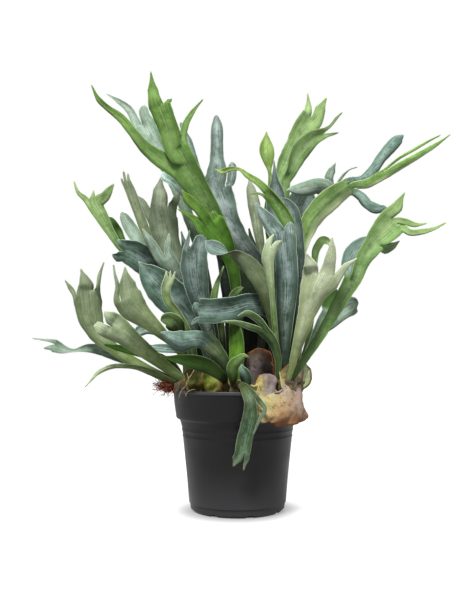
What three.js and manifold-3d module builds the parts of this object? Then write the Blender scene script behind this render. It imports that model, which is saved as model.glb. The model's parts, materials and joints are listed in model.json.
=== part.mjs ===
// A potted staghorn fern: forked strap fronds on creeping rhizomes, papery shield fronds and a plain nursery pot.
// Millimetres, +Z up, origin at the middle of the pot's underside, front towards -Y.

import * as THREE from 'three';
import { mergeVertices } from 'three/addons/utils/BufferGeometryUtils.js';
import Module from 'manifold-3d';

// Driving dimensions

const CLEARANCE = 0.35;

const POT_HEIGHT = 158;
const RIM_RADIUS = 85;
const RIM_LIP = 3;
const COLLAR_DROP = 37;
const COLLAR_RADIUS = 80;
const SHOULDER_RADIUS = 75.5;
const BODY_RADIUS = 72;
const FOOT_STEP_RADIUS = 61.5;
const FOOT_RADIUS = 58;
const WALL = 1.8;
const FLOOR = 2.5;
const POT_SEGMENTS = 40;
const DRAIN_COUNT = 8;
const DRAIN_WIDTH = 9;
const DRAIN_HEIGHT = 3.5;
const DRAIN_DEPTH = 9;
const DRAIN_TURN = 15;

const SOIL_TOP = 146;
const SOIL_SEGMENTS = 24;

const BLADE_THICKNESS = 1.4;
const SHIELD_THICKNESS = 1.6;
const ROW_STEP = 20;
const CUP = 0.22;
const FADE_LENGTH = 14;
const FADE_STRETCH = 2.4;
const NARROWEST = 0.6;

// Ribs are given as they line up from a standpoint in front of the plant
const STAND_OFF = 1000;
const EYE_LEVEL = 210;

// Which side of a blade faces the standpoint where its roll is 0
const UPPER = 1;
const UNDER = -1;

const COLOURS = {
  pot: 0x323234,
  soil: 0x4a3526,
  rhizome: 0x5b4a35,
  upper: 0x7b8f93,
  under: 0x8b9a74,
  young: 0x6f9438,
  papery: 0xa98a68,
  fresh: 0x9aa35c,
};

// Antler fronds. A lobe takes its share of the width; sinus is how far the notch after it reaches past the fork.
const FRONDS = {
  frond_top_left: {
    face: UPPER, colour: 'young',
    rib: [
      [-8, 172, 22, 4, 0], [0, 235, 18, 5.5, 0], [-2, 294, 14, 6.5, 5], [-12, 343, 10, 9.5, 10],
      [-33, 387, 4, 13.5, 12], [-51, 419, 0, 15.5, 10], [-67, 444, -3, 19, 6],
    ],
    lobes: [
      {
        share: 0.3, sinus: 11, rib: [
          [-100, 458, -4, 10.5, 0], [-121, 474, -6, 8, 0], [-139, 496, -10, 6, 0],
          [-155, 515, -14, 5.5, 0], [-169, 525, -18, 4, 0], [-182, 537, -22, 3.5, 0],
          [-192, 557, -26, 1, 0],
        ],
      },
      {
        share: 0.7, rib: [[-77, 469, -6, 15.5, 0]],
        lobes: [
          {
            share: 0.7, sinus: 5, rib: [[-89, 494, -9, 13, 0], [-96, 513, -12, 13.5, 0], [-102, 529, -14, 14.5, 0]],
            lobes: [
              {
                share: 0.7, sinus: 1, rib: [[-111, 550, -18, 7, 0], [-114, 575, -22, 1, 0]],
              },
              {
                share: 0.3, rib: [[-88, 536, -14, 2, 0], [-86, 539, -14, 1.5, 0]],
              },
            ],
          },
          {
            share: 0.3, rib: [[-69, 502, -6, 4.5, 0], [-59, 521, -4, 3, 0], [-45, 538, -2, 1, 0]],
          },
        ],
      },
    ],
  },
  frond_top_left_pale: {
    face: UPPER, colour: 'upper',
    rib: [
      [-21, 174, 52, 4, 0], [-34, 261, 58, 5.5, 0], [-52, 347, 64, 7, 0], [-73, 406, 70, 8.5, 0],
      [-93, 452, 76, 11.5, 0], [-110, 481, 80, 13.5, 0], [-122, 503, 84, 16.5, 0],
    ],
    lobes: [
      {
        share: 0.42, sinus: 3, rib: [[-143, 525, 88, 5.5, 0], [-157, 536, 92, 3.5, 0], [-172, 545, 96, 1, 0]],
      },
      {
        share: 0.58, rib: [[-123, 523, 86, 7, 0], [-121, 530, 88, 3, 0]],
      },
    ],
  },
  frond_great_blue: {
    face: UPPER, colour: 'upper',
    rib: [
      [61, 169, -22, 5, 0], [53, 228, -14, 8, 0], [40, 285, -4, 10, 0], [23, 324, 8, 11.5, -10],
      [3, 352, 17, 13, -10], [-12, 378, 22, 16, 0], [-21, 398, 24, 21, 0], [-28, 415, 25, 23, 0],
    ],
    lobes: [
      {
        share: 0.2, sinus: 11, rib: [
          [-54, 440, 24, 7.5, 0], [-61, 462, 26, 8, 0], [-67, 484, 28, 7, 0], [-75, 508, 30, 2, 0],
        ],
      },
      {
        share: 0.62, sinus: 1, rib: [
          [-27, 441, 26, 13.5, 0], [-27, 460, 28, 9.5, 0], [-27, 479, 30, 8.5, 0],
          [-27, 500, 34, 8, 0], [-28, 517, 38, 2.5, 0],
        ],
      },
      {
        share: 0.18, rib: [[-9, 429, 23, 5.5, 0], [-7, 441, 23, 6, 0], [-7, 451, 24, 5, 0], [-8, 456, 24, 2, 0]],
      },
    ],
  },
  frond_curled_ribbon: {
    face: UPPER, colour: 'young',
    rib: [
      [63, 169, -44, 3, 0], [70, 232, -54, 4.5, 0], [74, 298, -62, 5.5, 0], [71, 345, -62, 7.5, 0],
      [65, 377, -60, 8.5, 0], [50, 402, -58, 8, 10], [40, 414, -58, 7.5, 10],
    ],
    lobes: [
      {
        share: 0.2, sinus: 1, rib: [[28, 414, -56, 1.5, 0], [16, 413, -54, 0.8, 0]],
      },
      {
        share: 0.8, rib: [
          [27, 429, -56, 4.5, 0], [13, 438, -54, 3.5, 0], [2, 446, -50, 2, 0], [-10, 446, -48, 3, 0],
          [-21, 443, -46, 3, 0], [-29, 446, -44, 1, 0],
        ],
      },
    ],
  },
  frond_right_blue: {
    face: UPPER, colour: 'upper',
    rib: [
      [58, 166, -54, 4.5, 0], [61, 211, -64, 7.5, 0], [63, 256, -73, 11, 0], [65, 298, -78, 13.5, 0],
      [63, 335, -80, 14, 0], [61, 353, -80, 15.5, 0],
    ],
    lobes: [
      {
        share: 0.55, sinus: 11, rib: [[44, 373, -76, 9.5, 0], [32, 389, -72, 6, 0], [24, 402, -68, 1.5, 0]],
      },
      {
        share: 0.45, rib: [[69, 369, -78, 6.5, 0], [70, 377, -76, 2.5, 0]],
      },
    ],
  },
  frond_right_edge: {
    face: UPPER, colour: 'upper',
    rib: [
      [69, 172, -40, 4, 0], [76, 219, -42, 6.5, -30], [80, 272, -44, 8, -30], [80, 322, -46, 8, -20],
      [77, 353, -46, 10, -10], [71, 377, -46, 12.5, 0], [66, 394, -44, 11.5, 0],
      [61, 404, -42, 5.5, 0], [57, 409, -42, 1.5, 0],
    ],
  },
  frond_pale_paddle: {
    face: UNDER, colour: 'under',
    rib: [
      [28, 172, 36, 4, 0], [33, 261, 44, 5, 0], [32, 333, 50, 5.5, 0], [25, 377, 54, 7.5, 0],
      [21, 404, 56, 8.5, 0], [17, 423, 57, 5.5, 0], [15, 435, 58, 1, 0],
    ],
  },
  frond_young_bud: {
    face: UPPER, colour: 'young',
    rib: [
      [34, 172, 58, 4, 0], [40, 261, 74, 5, 0], [44, 340, 84, 5.5, 0], [42, 392, 92, 8, 0],
      [44, 424, 96, 4.5, 0], [42, 444, 98, 3, 0], [40, 461, 100, 9.5, 0], [38, 474, 102, 10, 0],
      [38, 487, 104, 4.5, 0], [38, 496, 105, 1, 0],
    ],
  },
  frond_thin_spike: {
    face: UPPER, colour: 'upper',
    rib: [
      [42, 172, 35, 4, 0], [50, 261, 36, 5.5, 0], [52, 329, 37, 8, 0], [50, 382, 38, 11, 0],
      [50, 412, 38, 12.5, 0], [49, 435, 38, 4.5, 0], [48, 458, 38, 1, 0],
    ],
  },
  frond_top_right: {
    face: UPPER, colour: 'young',
    rib: [
      [50, 172, 44, 5, 0], [58, 261, 52, 6, 0], [59, 340, 60, 7.5, 0], [59, 395, 64, 8.5, 0],
      [60, 427, 66, 10, 0],
    ],
    lobes: [
      {
        share: 0.5, sinus: 4, rib: [
          [63, 454, 76, 11.5, 0], [74, 475, 82, 13, 0], [86, 498, 88, 15.5, 0], [97, 512, 92, 17, 0],
        ],
        lobes: [
          {
            share: 0.45, sinus: -1, rib: [[93, 529, 96, 4.5, 0], [92, 546, 100, 1, 0]],
          },
          {
            share: 0.55, rib: [[109, 525, 94, 8, 0], [117, 540, 96, 1.5, 0]],
          },
        ],
      },
      {
        share: 0.5, rib: [
          [71, 443, 58, 7.5, 0], [84, 471, 54, 13, 0], [101, 488, 48, 10.5, 0],
          [113, 493, 46, 7.5, 0],
        ],
        lobes: [
          {
            share: 0.5, sinus: 0, rib: [[122, 503, 44, 2, 0], [130, 513, 43, 2, 0], [138, 521, 42, 1, 0]],
          },
          {
            share: 0.5, rib: [[125, 492, 44, 2, 0], [133, 494, 43, 1, 0]],
          },
        ],
      },
    ],
  },
  frond_right_olive: {
    face: UNDER, colour: 'under',
    rib: [
      [76, 172, -28, 4.5, 0], [80, 224, -24, 6, 0], [80, 277, -20, 7, 0], [79, 324, -16, 8, 0],
      [86, 353, -14, 9.5, 0], [97, 379, -14, 12.5, 0], [111, 396, -14, 14, -10],
      [128, 411, -16, 14, -10], [142, 421, -18, 11, 0],
    ],
    lobes: [
      {
        share: 0.4, sinus: 4, rib: [
          [163, 433, -12, 5, 0], [178, 445, -6, 6.5, 0], [189, 461, 0, 7, 0], [202, 476, 6, 8, 0],
          [212, 486, 10, 6.5, 0], [218, 491, 12, 2, 0],
        ],
      },
      {
        share: 0.35, sinus: 5, rib: [[170, 427, -22, 6, 0], [192, 439, -28, 6.5, 0]],
        lobes: [
          {
            share: 0.25, sinus: 0, rib: [
              [213, 461, -34, 2, 0], [234, 473, -38, 2, 0], [253, 484, -42, 1.5, 0],
              [267, 491, -44, 1, 0],
            ],
          },
          {
            share: 0.75, rib: [
              [213, 450, -34, 5, 0], [239, 465, -40, 4, 0], [262, 479, -46, 2.5, 0],
              [280, 492, -50, 0.8, 0],
            ],
          },
        ],
      },
      {
        share: 0.25, rib: [
          [161, 411, -22, 6, 0], [171, 400, -26, 6.5, 0], [183, 394, -30, 6.5, 0],
          [196, 396, -34, 2.5, 0],
        ],
      },
    ],
  },
  frond_right_fold: {
    face: UNDER, colour: 'upper',
    rib: [
      [71, 174, -2, 4.5, 0], [76, 241, 8, 6.5, 0], [80, 307, 16, 7.5, 0], [84, 350, 22, 8.5, 0],
      [96, 382, 24, 9.5, 0], [116, 404, 20, 12, 0],
    ],
    lobes: [
      {
        share: 0.66, sinus: 0, rib: [
          [116, 419, 14, 11.5, 0], [105, 424, 8, 10.5, 0], [94, 421, 4, 10.5, 0], [80, 419, 2, 8, 0],
          [71, 419, 0, 4.5, 0], [64, 418, -2, 1, 0],
        ],
      },
      {
        share: 0.34, rib: [[125, 420, 17, 6, 0]],
        lobes: [
          {
            share: 0.66, sinus: 0, rib: [[120, 435, 13, 6, 0], [124, 445, 12, 5, 0], [129, 455, 10, 1, 0]],
          },
          {
            share: 0.34, rib: [[138, 437, 9, 2, 0], [148, 446, 4, 1, 0], [158, 449, 2, 1, 0]],
          },
        ],
      },
    ],
  },
  frond_right_antler: {
    face: UPPER, colour: 'young',
    rib: [
      [71, 169, -54, 3, 0], [86, 193, -58, 4.5, 0], [109, 228, -68, 6, 0], [130, 265, -78, 8, 0],
      [150, 299, -88, 10, 0],
    ],
    lobes: [
      {
        share: 0.35, sinus: 0, rib: [
          [145, 320, -84, 8.5, 0], [153, 339, -82, 9.5, 0], [166, 352, -84, 6, 0],
          [176, 360, -86, 1, 0],
        ],
      },
      {
        share: 0.65, rib: [[166, 329, -96, 9.5, 0], [180, 349, -100, 12.5, 0]],
        lobes: [
          {
            share: 0.8, sinus: 1, rib: [[193, 365, -104, 16, 0], [204, 377, -106, 17.5, 0]],
            lobes: [
              {
                share: 0.42, sinus: 1, rib: [[209, 396, -109, 7, 0], [214, 406, -111, 3.5, 0], [220, 416, -113, 1, 0]],
              },
              {
                share: 0.26, sinus: 1, rib: [[220, 377, -110, 4, 0], [233, 373, -113, 3, 0], [249, 375, -116, 1, 0]],
              },
              {
                share: 0.32, rib: [
                  [226, 363, -112, 4, 0], [242, 364, -115, 3.5, 0], [258, 368, -118, 2, 0],
                  [274, 376, -121, 1, 0],
                ],
              },
            ],
          },
          {
            share: 0.2, rib: [[193, 341, -97, 5.5, 0], [205, 346, -99, 4, 0], [213, 352, -100, 1, 0]],
          },
        ],
      },
    ],
  },
  frond_right_white: {
    face: UNDER, colour: 'under',
    rib: [
      [66, 166, -60, 2.5, 0], [74, 198, -68, 5, 0], [84, 232, -78, 8.5, 0], [94, 266, -88, 12.5, 0],
      [101, 287, -94, 18, 0], [108, 301, -97, 23, 0],
    ],
    lobes: [
      {
        share: 0.4, sinus: 3, rib: [[96, 318, -101, 8.5, 0], [93, 328, -103, 4.5, 0], [90, 337, -105, 1, 0]],
      },
      {
        share: 0.38, sinus: 12, rib: [[122, 329, -106, 7, 0], [124, 344, -108, 4, 0], [124, 358, -110, 0.8, 0]],
      },
      {
        share: 0.22, rib: [[143, 319, -104, 4, 0], [157, 329, -106, 1, 0]],
      },
    ],
  },
  frond_right_round: {
    face: UPPER, colour: 'upper',
    rib: [[76, 170, -38, 3, 0], [95, 209, -40, 5, 0], [109, 235, -42, 9, 0], [122, 252, -44, 14, 0]],
    lobes: [
      {
        share: 0.5, sinus: 3, rib: [[121, 270, -40, 9.5, 0], [126, 282, -38, 7, 0], [129, 290, -37, 3, 0]],
      },
      {
        share: 0.5, rib: [
          [140, 262, -47, 12, 0], [149, 267, -47, 12, 0], [155, 270, -46, 7.5, 0],
          [159, 270, -46, 2.5, 0],
        ],
      },
    ],
  },
  frond_right_young: {
    face: UNDER, colour: 'under',
    rib: [
      [53, 169, -60, 2.5, 0], [52, 206, -72, 3, 0], [48, 252, -86, 3.5, 0], [45, 287, -94, 3.5, 0],
      [42, 311, -97, 5.5, 0], [40, 329, -100, 7.5, 0], [44, 344, -100, 8.5, 0],
    ],
    lobes: [
      {
        share: 0.5, sinus: 0, rib: [[43, 353, -100, 3.5, 0], [48, 361, -100, 1, 0]],
      },
      {
        share: 0.5, rib: [[53, 349, -99, 3.5, 0], [58, 352, -98, 1, 0]],
      },
    ],
  },
  frond_middle_arch: {
    face: UNDER, colour: 'under',
    rib: [
      [53, 174, -46, 4, 0], [52, 224, -54, 6, 0], [45, 264, -66, 10, 0], [32, 297, -72, 11, 0],
      [15, 320, -72, 10.5, 0], [-1, 331, -74, 8.5, 20], [-13, 335, -75, 9, 90],
      [-22, 339, -75, 8.5, 150], [-31, 343, -73, 9, 180], [-38, 348, -71, 6, 180],
      [-43, 352, -70, 1, 180],
    ],
  },
  frond_cross_blade: {
    face: UPPER, colour: 'upper',
    rib: [
      [57, 169, -38, 4, 0], [61, 215, -38, 6.5, 0], [55, 245, -44, 10, 0], [40, 265, -48, 12.5, 0],
      [16, 269, -56, 13, 0], [-10, 262, -67, 14.5, 0], [-34, 260, -76, 15, 0],
      [-50, 260, -80, 15, 0],
    ],
    lobes: [
      {
        share: 0.3, sinus: 0, rib: [[-56, 246, -82, 3, 0], [-61, 241, -82, 1, 0]],
      },
      {
        share: 0.7, rib: [[-54, 266, -81, 6, 0], [-56, 271, -81, 2.5, 0]],
      },
    ],
  },
  frond_cross_stem: {
    face: UNDER, colour: 'under',
    rib: [
      [52, 164, -60, 2.5, 0], [53, 198, -72, 4.5, 0], [46, 220, -80, 6, 0], [34, 235, -86, 7, 0],
    ],
    lobes: [
      {
        share: 0.5, sinus: 0, rib: [[16, 239, -90, 4, 0], [-4, 245, -92, 2.5, 0], [-21, 246, -92, 1, 0]],
      },
      {
        share: 0.5, rib: [[24, 251, -90, 4.5, 0], [12, 257, -92, 3.5, 0], [0, 253, -92, 1, 0]],
      },
    ],
  },
  frond_centre_bright: {
    face: UPPER, colour: 'young',
    rib: [
      [0, 169, 2, 4.5, 0], [2, 235, -6, 6, 0], [-2, 290, -14, 7, 0], [-9, 327, -20, 9, 0],
      [-21, 354, -26, 14, 0], [-33, 371, -28, 19, 0],
    ],
    lobes: [
      {
        share: 0.3, sinus: 3, rib: [[-55, 379, -32, 5, 0], [-67, 387, -34, 2.5, 0], [-79, 394, -36, 1, 0]],
      },
      {
        share: 0.35, sinus: 5, rib: [
          [-49, 392, -35, 6.5, 0], [-61, 403, -36, 6.5, 0], [-69, 412, -38, 4, 0],
          [-73, 419, -40, 1, 0],
        ],
      },
      {
        share: 0.35, rib: [[-27, 382, -27, 5, 0], [-33, 391, -28, 2.5, 0]],
      },
    ],
  },
  frond_left_grey: {
    face: UNDER, colour: 'under',
    rib: [
      [-42, 172, 30, 4, 0], [-54, 241, 34, 7, 0], [-71, 294, 38, 11, 0], [-86, 332, 40, 15, 0],
      [-94, 358, 42, 18, 0], [-98, 379, 42, 21, 0],
    ],
    lobes: [
      {
        share: 0.15, sinus: 16, rib: [[-123, 398, 44, 6, 0], [-129, 406, 46, 5, 0], [-135, 412, 48, 1.5, 0]],
      },
      {
        share: 0.6, sinus: 18, rib: [[-102, 406, 46, 11.5, 0], [-102, 420, 48, 8.5, 0], [-100, 437, 50, 1.5, 0]],
      },
      {
        share: 0.25, rib: [[-83, 400, 44, 5.5, 0], [-80, 408, 46, 5, 0], [-75, 417, 48, 1.5, 0]],
      },
    ],
  },
  frond_under_top_left: {
    face: UPPER, colour: 'upper',
    rib: [
      [-13, 169, 44, 4, 0], [-10, 235, 36, 6, 0], [-15, 294, 34, 7.5, 0], [-21, 327, 33, 6, 0],
      [-29, 356, 32, 5.5, 0], [-40, 375, 31, 6, 0], [-54, 396, 30, 6, 0], [-69, 415, 28, 7, 0],
      [-86, 431, 26, 6.5, 0], [-97, 438, 26, 5.5, 0], [-101, 442, 26, 2, 0],
    ],
  },
  frond_left_twist: {
    face: UPPER, colour: 'upper',
    rib: [
      [-47, 177, 20, 3.5, 0], [-67, 248, 14, 4, 0], [-90, 298, 8, 4.5, 0], [-109, 332, 4, 5.5, 0],
      [-121, 364, 2, 6.5, 0], [-131, 392, 0, 6.5, 0], [-140, 416, -2, 6.5, 0], [-146, 429, -4, 6, 0],
    ],
    lobes: [
      {
        share: 0.3, sinus: 0, rib: [[-153, 435, -6, 1.5, 0]],
      },
      {
        share: 0.35, sinus: 0, rib: [[-150, 444, -6, 1.5, 0]],
      },
      {
        share: 0.35, rib: [[-144, 441, -4, 1.5, 0]],
      },
    ],
  },
  frond_left_small_blue: {
    face: UPPER, colour: 'upper',
    rib: [
      [-34, 172, 46, 3.5, 0], [-63, 255, 50, 4, 0], [-92, 298, 50, 5.5, 0], [-114, 328, 50, 7, 0],
      [-131, 353, 50, 8.5, 0], [-142, 371, 52, 9, 0], [-150, 385, 54, 5.5, 0], [-153, 390, 56, 2, 0],
    ],
  },
  frond_left_bright: {
    face: UPPER, colour: 'young',
    rib: [
      [-52, 172, 16, 3.5, 0], [-75, 237, 14, 4, 0], [-105, 287, 8, 5.5, 0], [-131, 319, -4, 6, 0],
      [-150, 343, -16, 7, 0],
    ],
    lobes: [
      {
        share: 0.62, sinus: 0, rib: [[-168, 365, -22, 6, 0], [-178, 383, -26, 8.5, 0], [-185, 395, -28, 9.5, 0]],
        lobes: [
          {
            share: 0.3, sinus: 8, rib: [[-199, 406, -30, 4, 0], [-209, 415, -32, 2.5, 0], [-215, 431, -34, 1, 0]],
          },
          {
            share: 0.3, sinus: 8, rib: [[-190, 407, -30, 4.5, 0], [-189, 419, -30, 1, 0]],
          },
          {
            share: 0.4, rib: [[-174, 410, -32, 6.5, 0], [-168, 419, -34, 4.5, 0], [-162, 427, -36, 1.5, 0]],
          },
        ],
      },
      {
        share: 0.38, rib: [[-157, 366, -11, 5, 0], [-169, 378, -8, 6.5, 0], [-178, 386, -6, 1.5, 0]],
      },
    ],
  },
  frond_left_dark: {
    face: UPPER, colour: 'upper',
    rib: [
      [-33, 177, 10, 4, 0], [-47, 232, 8, 8, 0], [-71, 266, 2, 13, 0], [-96, 297, -8, 17, 0],
      [-117, 322, -20, 18.5, 0], [-136, 335, -30, 17, 0], [-147, 339, -32, 14.5, 0],
    ],
    lobes: [
      {
        share: 0.45, sinus: 0, rib: [[-158, 331, -34, 6.5, 0], [-165, 334, -36, 2, 0]],
      },
      {
        share: 0.55, rib: [[-153, 349, -34, 5.5, 0], [-157, 354, -34, 1.5, 0]],
      },
    ],
  },
  frond_left_wide: {
    face: UPPER, colour: 'upper',
    rib: [
      [-33, 170, -16, 4.5, 0], [-44, 222, -22, 9, 0], [-61, 251, -28, 15.5, 0],
      [-80, 272, -33, 21.5, 0], [-98, 289, -37, 21.5, 0], [-111, 303, -40, 17, 0],
      [-121, 314, -41, 10, 0], [-130, 325, -42, 1.5, 0],
    ],
  },
  frond_left_tongue: {
    face: UNDER, colour: 'under',
    rib: [
      [-39, 177, -2, 4, 0], [-52, 241, -8, 6.5, 0], [-67, 285, -16, 9, 0], [-80, 307, -25, 11.5, 0],
      [-91, 324, -31, 12, 0],
    ],
    lobes: [
      {
        share: 0.5, sinus: 5, rib: [[-109, 341, -34, 6.5, 0], [-118, 356, -36, 4.5, 0], [-125, 368, -37, 1, 0]],
      },
      {
        share: 0.5, rib: [[-91, 341, -32, 5.5, 0], [-90, 352, -32, 4, 0], [-90, 362, -32, 1, 0]],
      },
    ],
  },
  frond_left_upright: {
    face: UPPER, colour: 'upper',
    rib: [
      [-27, 172, -26, 4, 0], [-37, 230, -38, 7.5, 0], [-47, 264, -46, 11.5, 0],
      [-54, 294, -51, 15, 0], [-57, 320, -53, 17, 0], [-56, 337, -53, 16, 0],
    ],
    lobes: [
      {
        share: 0.25, sinus: 0, rib: [[-65, 353, -53, 2.5, 0], [-63, 366, -54, 1, 0]],
      },
      {
        share: 0.75, rib: [[-49, 349, -52, 8.5, 0], [-47, 360, -51, 6, 0]],
      },
    ],
  },
  frond_small_crest: {
    face: UPPER, colour: 'young',
    rib: [[-59, 168, -42, 4, 0], [-60, 209, -54, 6, 0], [-71, 231, -56, 10, 0]],
    lobes: [
      {
        share: 0.62, sinus: 0, rib: [[-84, 244, -66, 11, 0], [-94, 249, -68, 8, 0], [-101, 247, -68, 2.5, 0]],
      },
      {
        share: 0.38, rib: [
          [-80, 258, -53, 5, 0], [-91, 272, -56, 5.5, 0], [-94, 289, -57, 6, 0],
          [-89, 304, -57, 6.5, 0],
        ],
        lobes: [
          {
            share: 0.34, sinus: 0, rib: [[-94, 312, -57, 1, 0]],
          },
          {
            share: 0.33, sinus: 0, rib: [[-88, 313, -57, 1, 0]],
          },
          {
            share: 0.33, rib: [[-82, 312, -57, 1, 0]],
          },
        ],
      },
    ],
  },
  frond_folded_pale: {
    face: UNDER, colour: 'under',
    rib: [[-12, 168, -50, 3.5, 0], [-19, 195, -60, 7.5, 0], [-34, 214, -64, 11, 0]],
    lobes: [
      {
        share: 0.8, sinus: 0, rib: [
          [-48, 222, -68, 10.5, 0], [-61, 222, -73, 11, 0], [-75, 220, -80, 13.5, 0],
          [-86, 224, -84, 9.5, 0], [-96, 230, -86, 4, 0], [-101, 232, -88, 1, 0],
        ],
      },
      {
        share: 0.2, rib: [[-35, 229, -64, 3, 0], [-33, 235, -64, 1, 0]],
      },
    ],
  },
  frond_left_inner: {
    face: UPPER, colour: 'upper',
    rib: [[-40, 169, -20, 3, 0], [-59, 203, -16, 5, 0]],
    lobes: [
      {
        share: 0.5, sinus: 0, rib: [
          [-79, 209, -22, 5, 0], [-96, 211, -24, 6, 0], [-109, 212, -24, 4.5, 0],
          [-118, 215, -24, 1.5, 0],
        ],
      },
      {
        share: 0.5, rib: [
          [-83, 222, -18, 5, 0], [-102, 231, -20, 5, 0], [-119, 237, -22, 7.5, 0],
          [-131, 233, -22, 6.5, 0], [-140, 231, -22, 1.5, 0],
        ],
      },
    ],
  },
  frond_centre_young: {
    face: UPPER, colour: 'young',
    rib: [[-18, 169, -38, 3, 0], [-19, 215, -44, 4, 0], [-23, 251, -50, 5, 0]],
    lobes: [
      {
        share: 0.5, sinus: 0, rib: [[-31, 274, -54, 4.5, 0], [-27, 295, -54, 3.5, 0], [-18, 319, -52, 1, 0]],
      },
      {
        share: 0.5, rib: [
          [-10, 270, -54, 3.5, 0], [-5, 282, -56, 4.5, 0], [3, 289, -58, 3, 0], [8, 291, -58, 1, 0],
        ],
      },
    ],
  },
  frond_right_curl: {
    face: UPPER, colour: 'young',
    rib: [
      [76, 169, -12, 2.5, 0], [94, 228, -6, 3.5, 0], [99, 281, 2, 4, 0], [101, 322, 8, 4, 0],
      [105, 344, 10, 5.5, 0], [113, 353, 10, 5.5, 0], [121, 349, 10, 3.5, 0], [122, 341, 10, 1.5, 0],
    ],
  },
  frond_left_tall: {
    face: UNDER, colour: 'under',
    rib: [
      [-76, 164, -22, 4, 0], [-102, 176, -22, 5, 0], [-131, 190, -20, 6.5, 0],
      [-161, 209, -18, 7.5, 0], [-184, 231, -20, 12, 0], [-194, 255, -24, 16.5, 0],
      [-196, 270, -27, 18, 0],
    ],
    lobes: [
      {
        share: 0.12, sinus: 11, rib: [[-215, 283, -30, 3.5, 0], [-220, 291, -31, 3, 0], [-227, 301, -32, 1, 0]],
      },
      {
        share: 0.63, sinus: 16, rib: [[-199, 293, -32, 9.5, 0], [-202, 304, -34, 5.5, 0], [-206, 316, -36, 1, 0]],
      },
      {
        share: 0.25, rib: [[-183, 290, -32, 3.5, 0], [-181, 307, -34, 2.5, 0], [-175, 325, -36, 1, 0]],
      },
    ],
  },
  frond_left_rolled: {
    face: UNDER, colour: 'under',
    rib: [
      [-68, 169, -38, 4, 0], [-88, 182, -46, 6.5, 0], [-109, 198, -55, 8.5, 0],
      [-131, 215, -64, 11, 0], [-151, 231, -72, 14.5, 0], [-163, 239, -76, 17, 0],
    ],
    lobes: [
      {
        share: 0.45, sinus: 0, rib: [[-178, 236, -80, 7.5, 0], [-185, 240, -80, 5.5, 0], [-189, 240, -80, 3, 0]],
      },
      {
        share: 0.55, rib: [[-166, 251, -80, 8.5, 0], [-172, 256, -82, 4, 0], [-176, 260, -82, 1, 0]],
      },
    ],
  },
  frond_left_leaf: {
    face: UNDER, colour: 'young',
    rib: [
      [-67, 170, -32, 4, 0], [-69, 195, -44, 4.5, 0], [-84, 216, -60, 5, 0],
      [-101, 232, -74, 7.5, 0], [-120, 249, -86, 11.5, 0], [-135, 262, -93, 16.5, 0],
      [-144, 276, -98, 18, 0],
    ],
    lobes: [
      {
        share: 0.27, sinus: 1, rib: [[-158, 295, -104, 2.5, 0], [-161, 308, -108, 1.5, 0], [-163, 322, -111, 1, 0]],
      },
      {
        share: 0.73, rib: [[-145, 295, -101, 10, 0], [-147, 307, -104, 4.5, 0], [-148, 319, -106, 1, 0]],
      },
    ],
  },
  frond_left_low: {
    face: UPPER, colour: 'upper',
    rib: [
      [-77, 159, -12, 3, 0], [-109, 177, -6, 4.5, 0], [-142, 193, 0, 6, 0], [-171, 206, 4, 7.5, 0],
      [-197, 211, 6, 5.5, 0], [-217, 208, 6, 2.5, 0], [-230, 210, 4, 6.5, 0], [-240, 214, 2, 9, 0],
    ],
    lobes: [
      {
        share: 0.6, sinus: 0, rib: [[-255, 211, 2, 1.5, 0]],
      },
      {
        share: 0.4, rib: [[-255, 222, 2, 1.5, 0], [-270, 224, 2, 1, 0]],
      },
    ],
  },
  frond_left_droop: {
    face: UNDER, colour: 'under',
    rib: [
      [-76, 164, -32, 2.5, 0], [-113, 180, -38, 3, 0], [-142, 187, -44, 3, 0],
      [-168, 186, -50, 3, 0], [-184, 178, -54, 2.5, 0], [-193, 168, -58, 1.5, 0],
      [-201, 159, -60, 0.8, 0],
    ],
  },
  frond_left_narrow: {
    face: UPPER, colour: 'under',
    rib: [
      [-71, 169, -26, 4, 0], [-89, 190, -31, 6.5, 0], [-115, 202, -36, 6.5, 0],
      [-142, 208, -40, 5, 0], [-159, 212, -42, 4, 0], [-176, 216, -44, 1.5, 0],
    ],
  },
  frond_low_dark: {
    face: UPPER, colour: 'young',
    rib: [
      [-16, 164, -50, 3, 0], [-21, 174, -76, 6, 0], [-37, 186, -80, 9, 0], [-59, 193, -84, 8.5, 0],
      [-80, 197, -86, 5, 0], [-102, 200, -88, 1, 0],
    ],
  },
  frond_centre_strip: {
    face: UPPER, colour: 'young',
    rib: [
      [0, 166, -54, 4.5, 0], [-1, 188, -58, 8.5, 0], [-1, 209, -60, 9.5, 0], [-2, 228, -58, 8.5, 0],
      [-5, 241, -54, 6, 0], [-8, 251, -50, 2, 0],
    ],
  },
  frond_centre_curl: {
    face: UNDER, colour: 'under',
    rib: [
      [-6, 163, -58, 3.5, 0], [-6, 174, -79, 6, 0], [-6, 188, -86, 7, 0], [2, 196, -89, 5.5, 0],
      [9, 201, -90, 3, 0], [15, 199, -90, 1, 0],
    ],
  },
  frond_centre_short: {
    face: UPPER, colour: 'upper',
    rib: [[11, 159, -62, 5, 0], [11, 173, -66, 7, 0], [7, 182, -70, 6, 0], [3, 191, -70, 2, 0]],
  },
  frond_hanging: {
    face: UPPER, colour: 'upper',
    rib: [
      [-1, 165, -56, 3, 0], [4, 163, -80, 4, 0], [11, 157, -94, 6.5, 0], [17, 147, -101, 8.5, 0],
    ],
    lobes: [
      {
        share: 0.25, sinus: 0, rib: [
          [30, 140, -101, 3, 0], [36, 132, -104, 2.5, 0], [29, 117, -107, 2, 0],
          [20, 96, -108, 1, 0],
        ],
      },
      {
        share: 0.75, rib: [
          [17, 127, -101, 8.5, 0], [13, 106, -99, 9, 0], [9, 89, -96, 9.5, 0], [7, 75, -94, 9, 0],
        ],
        lobes: [
          {
            share: 0.35, sinus: 0, rib: [[12, 65, -92, 3, 0], [9, 57, -90, 1.5, 0], [8, 50, -90, 0.8, 0]],
          },
          {
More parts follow.
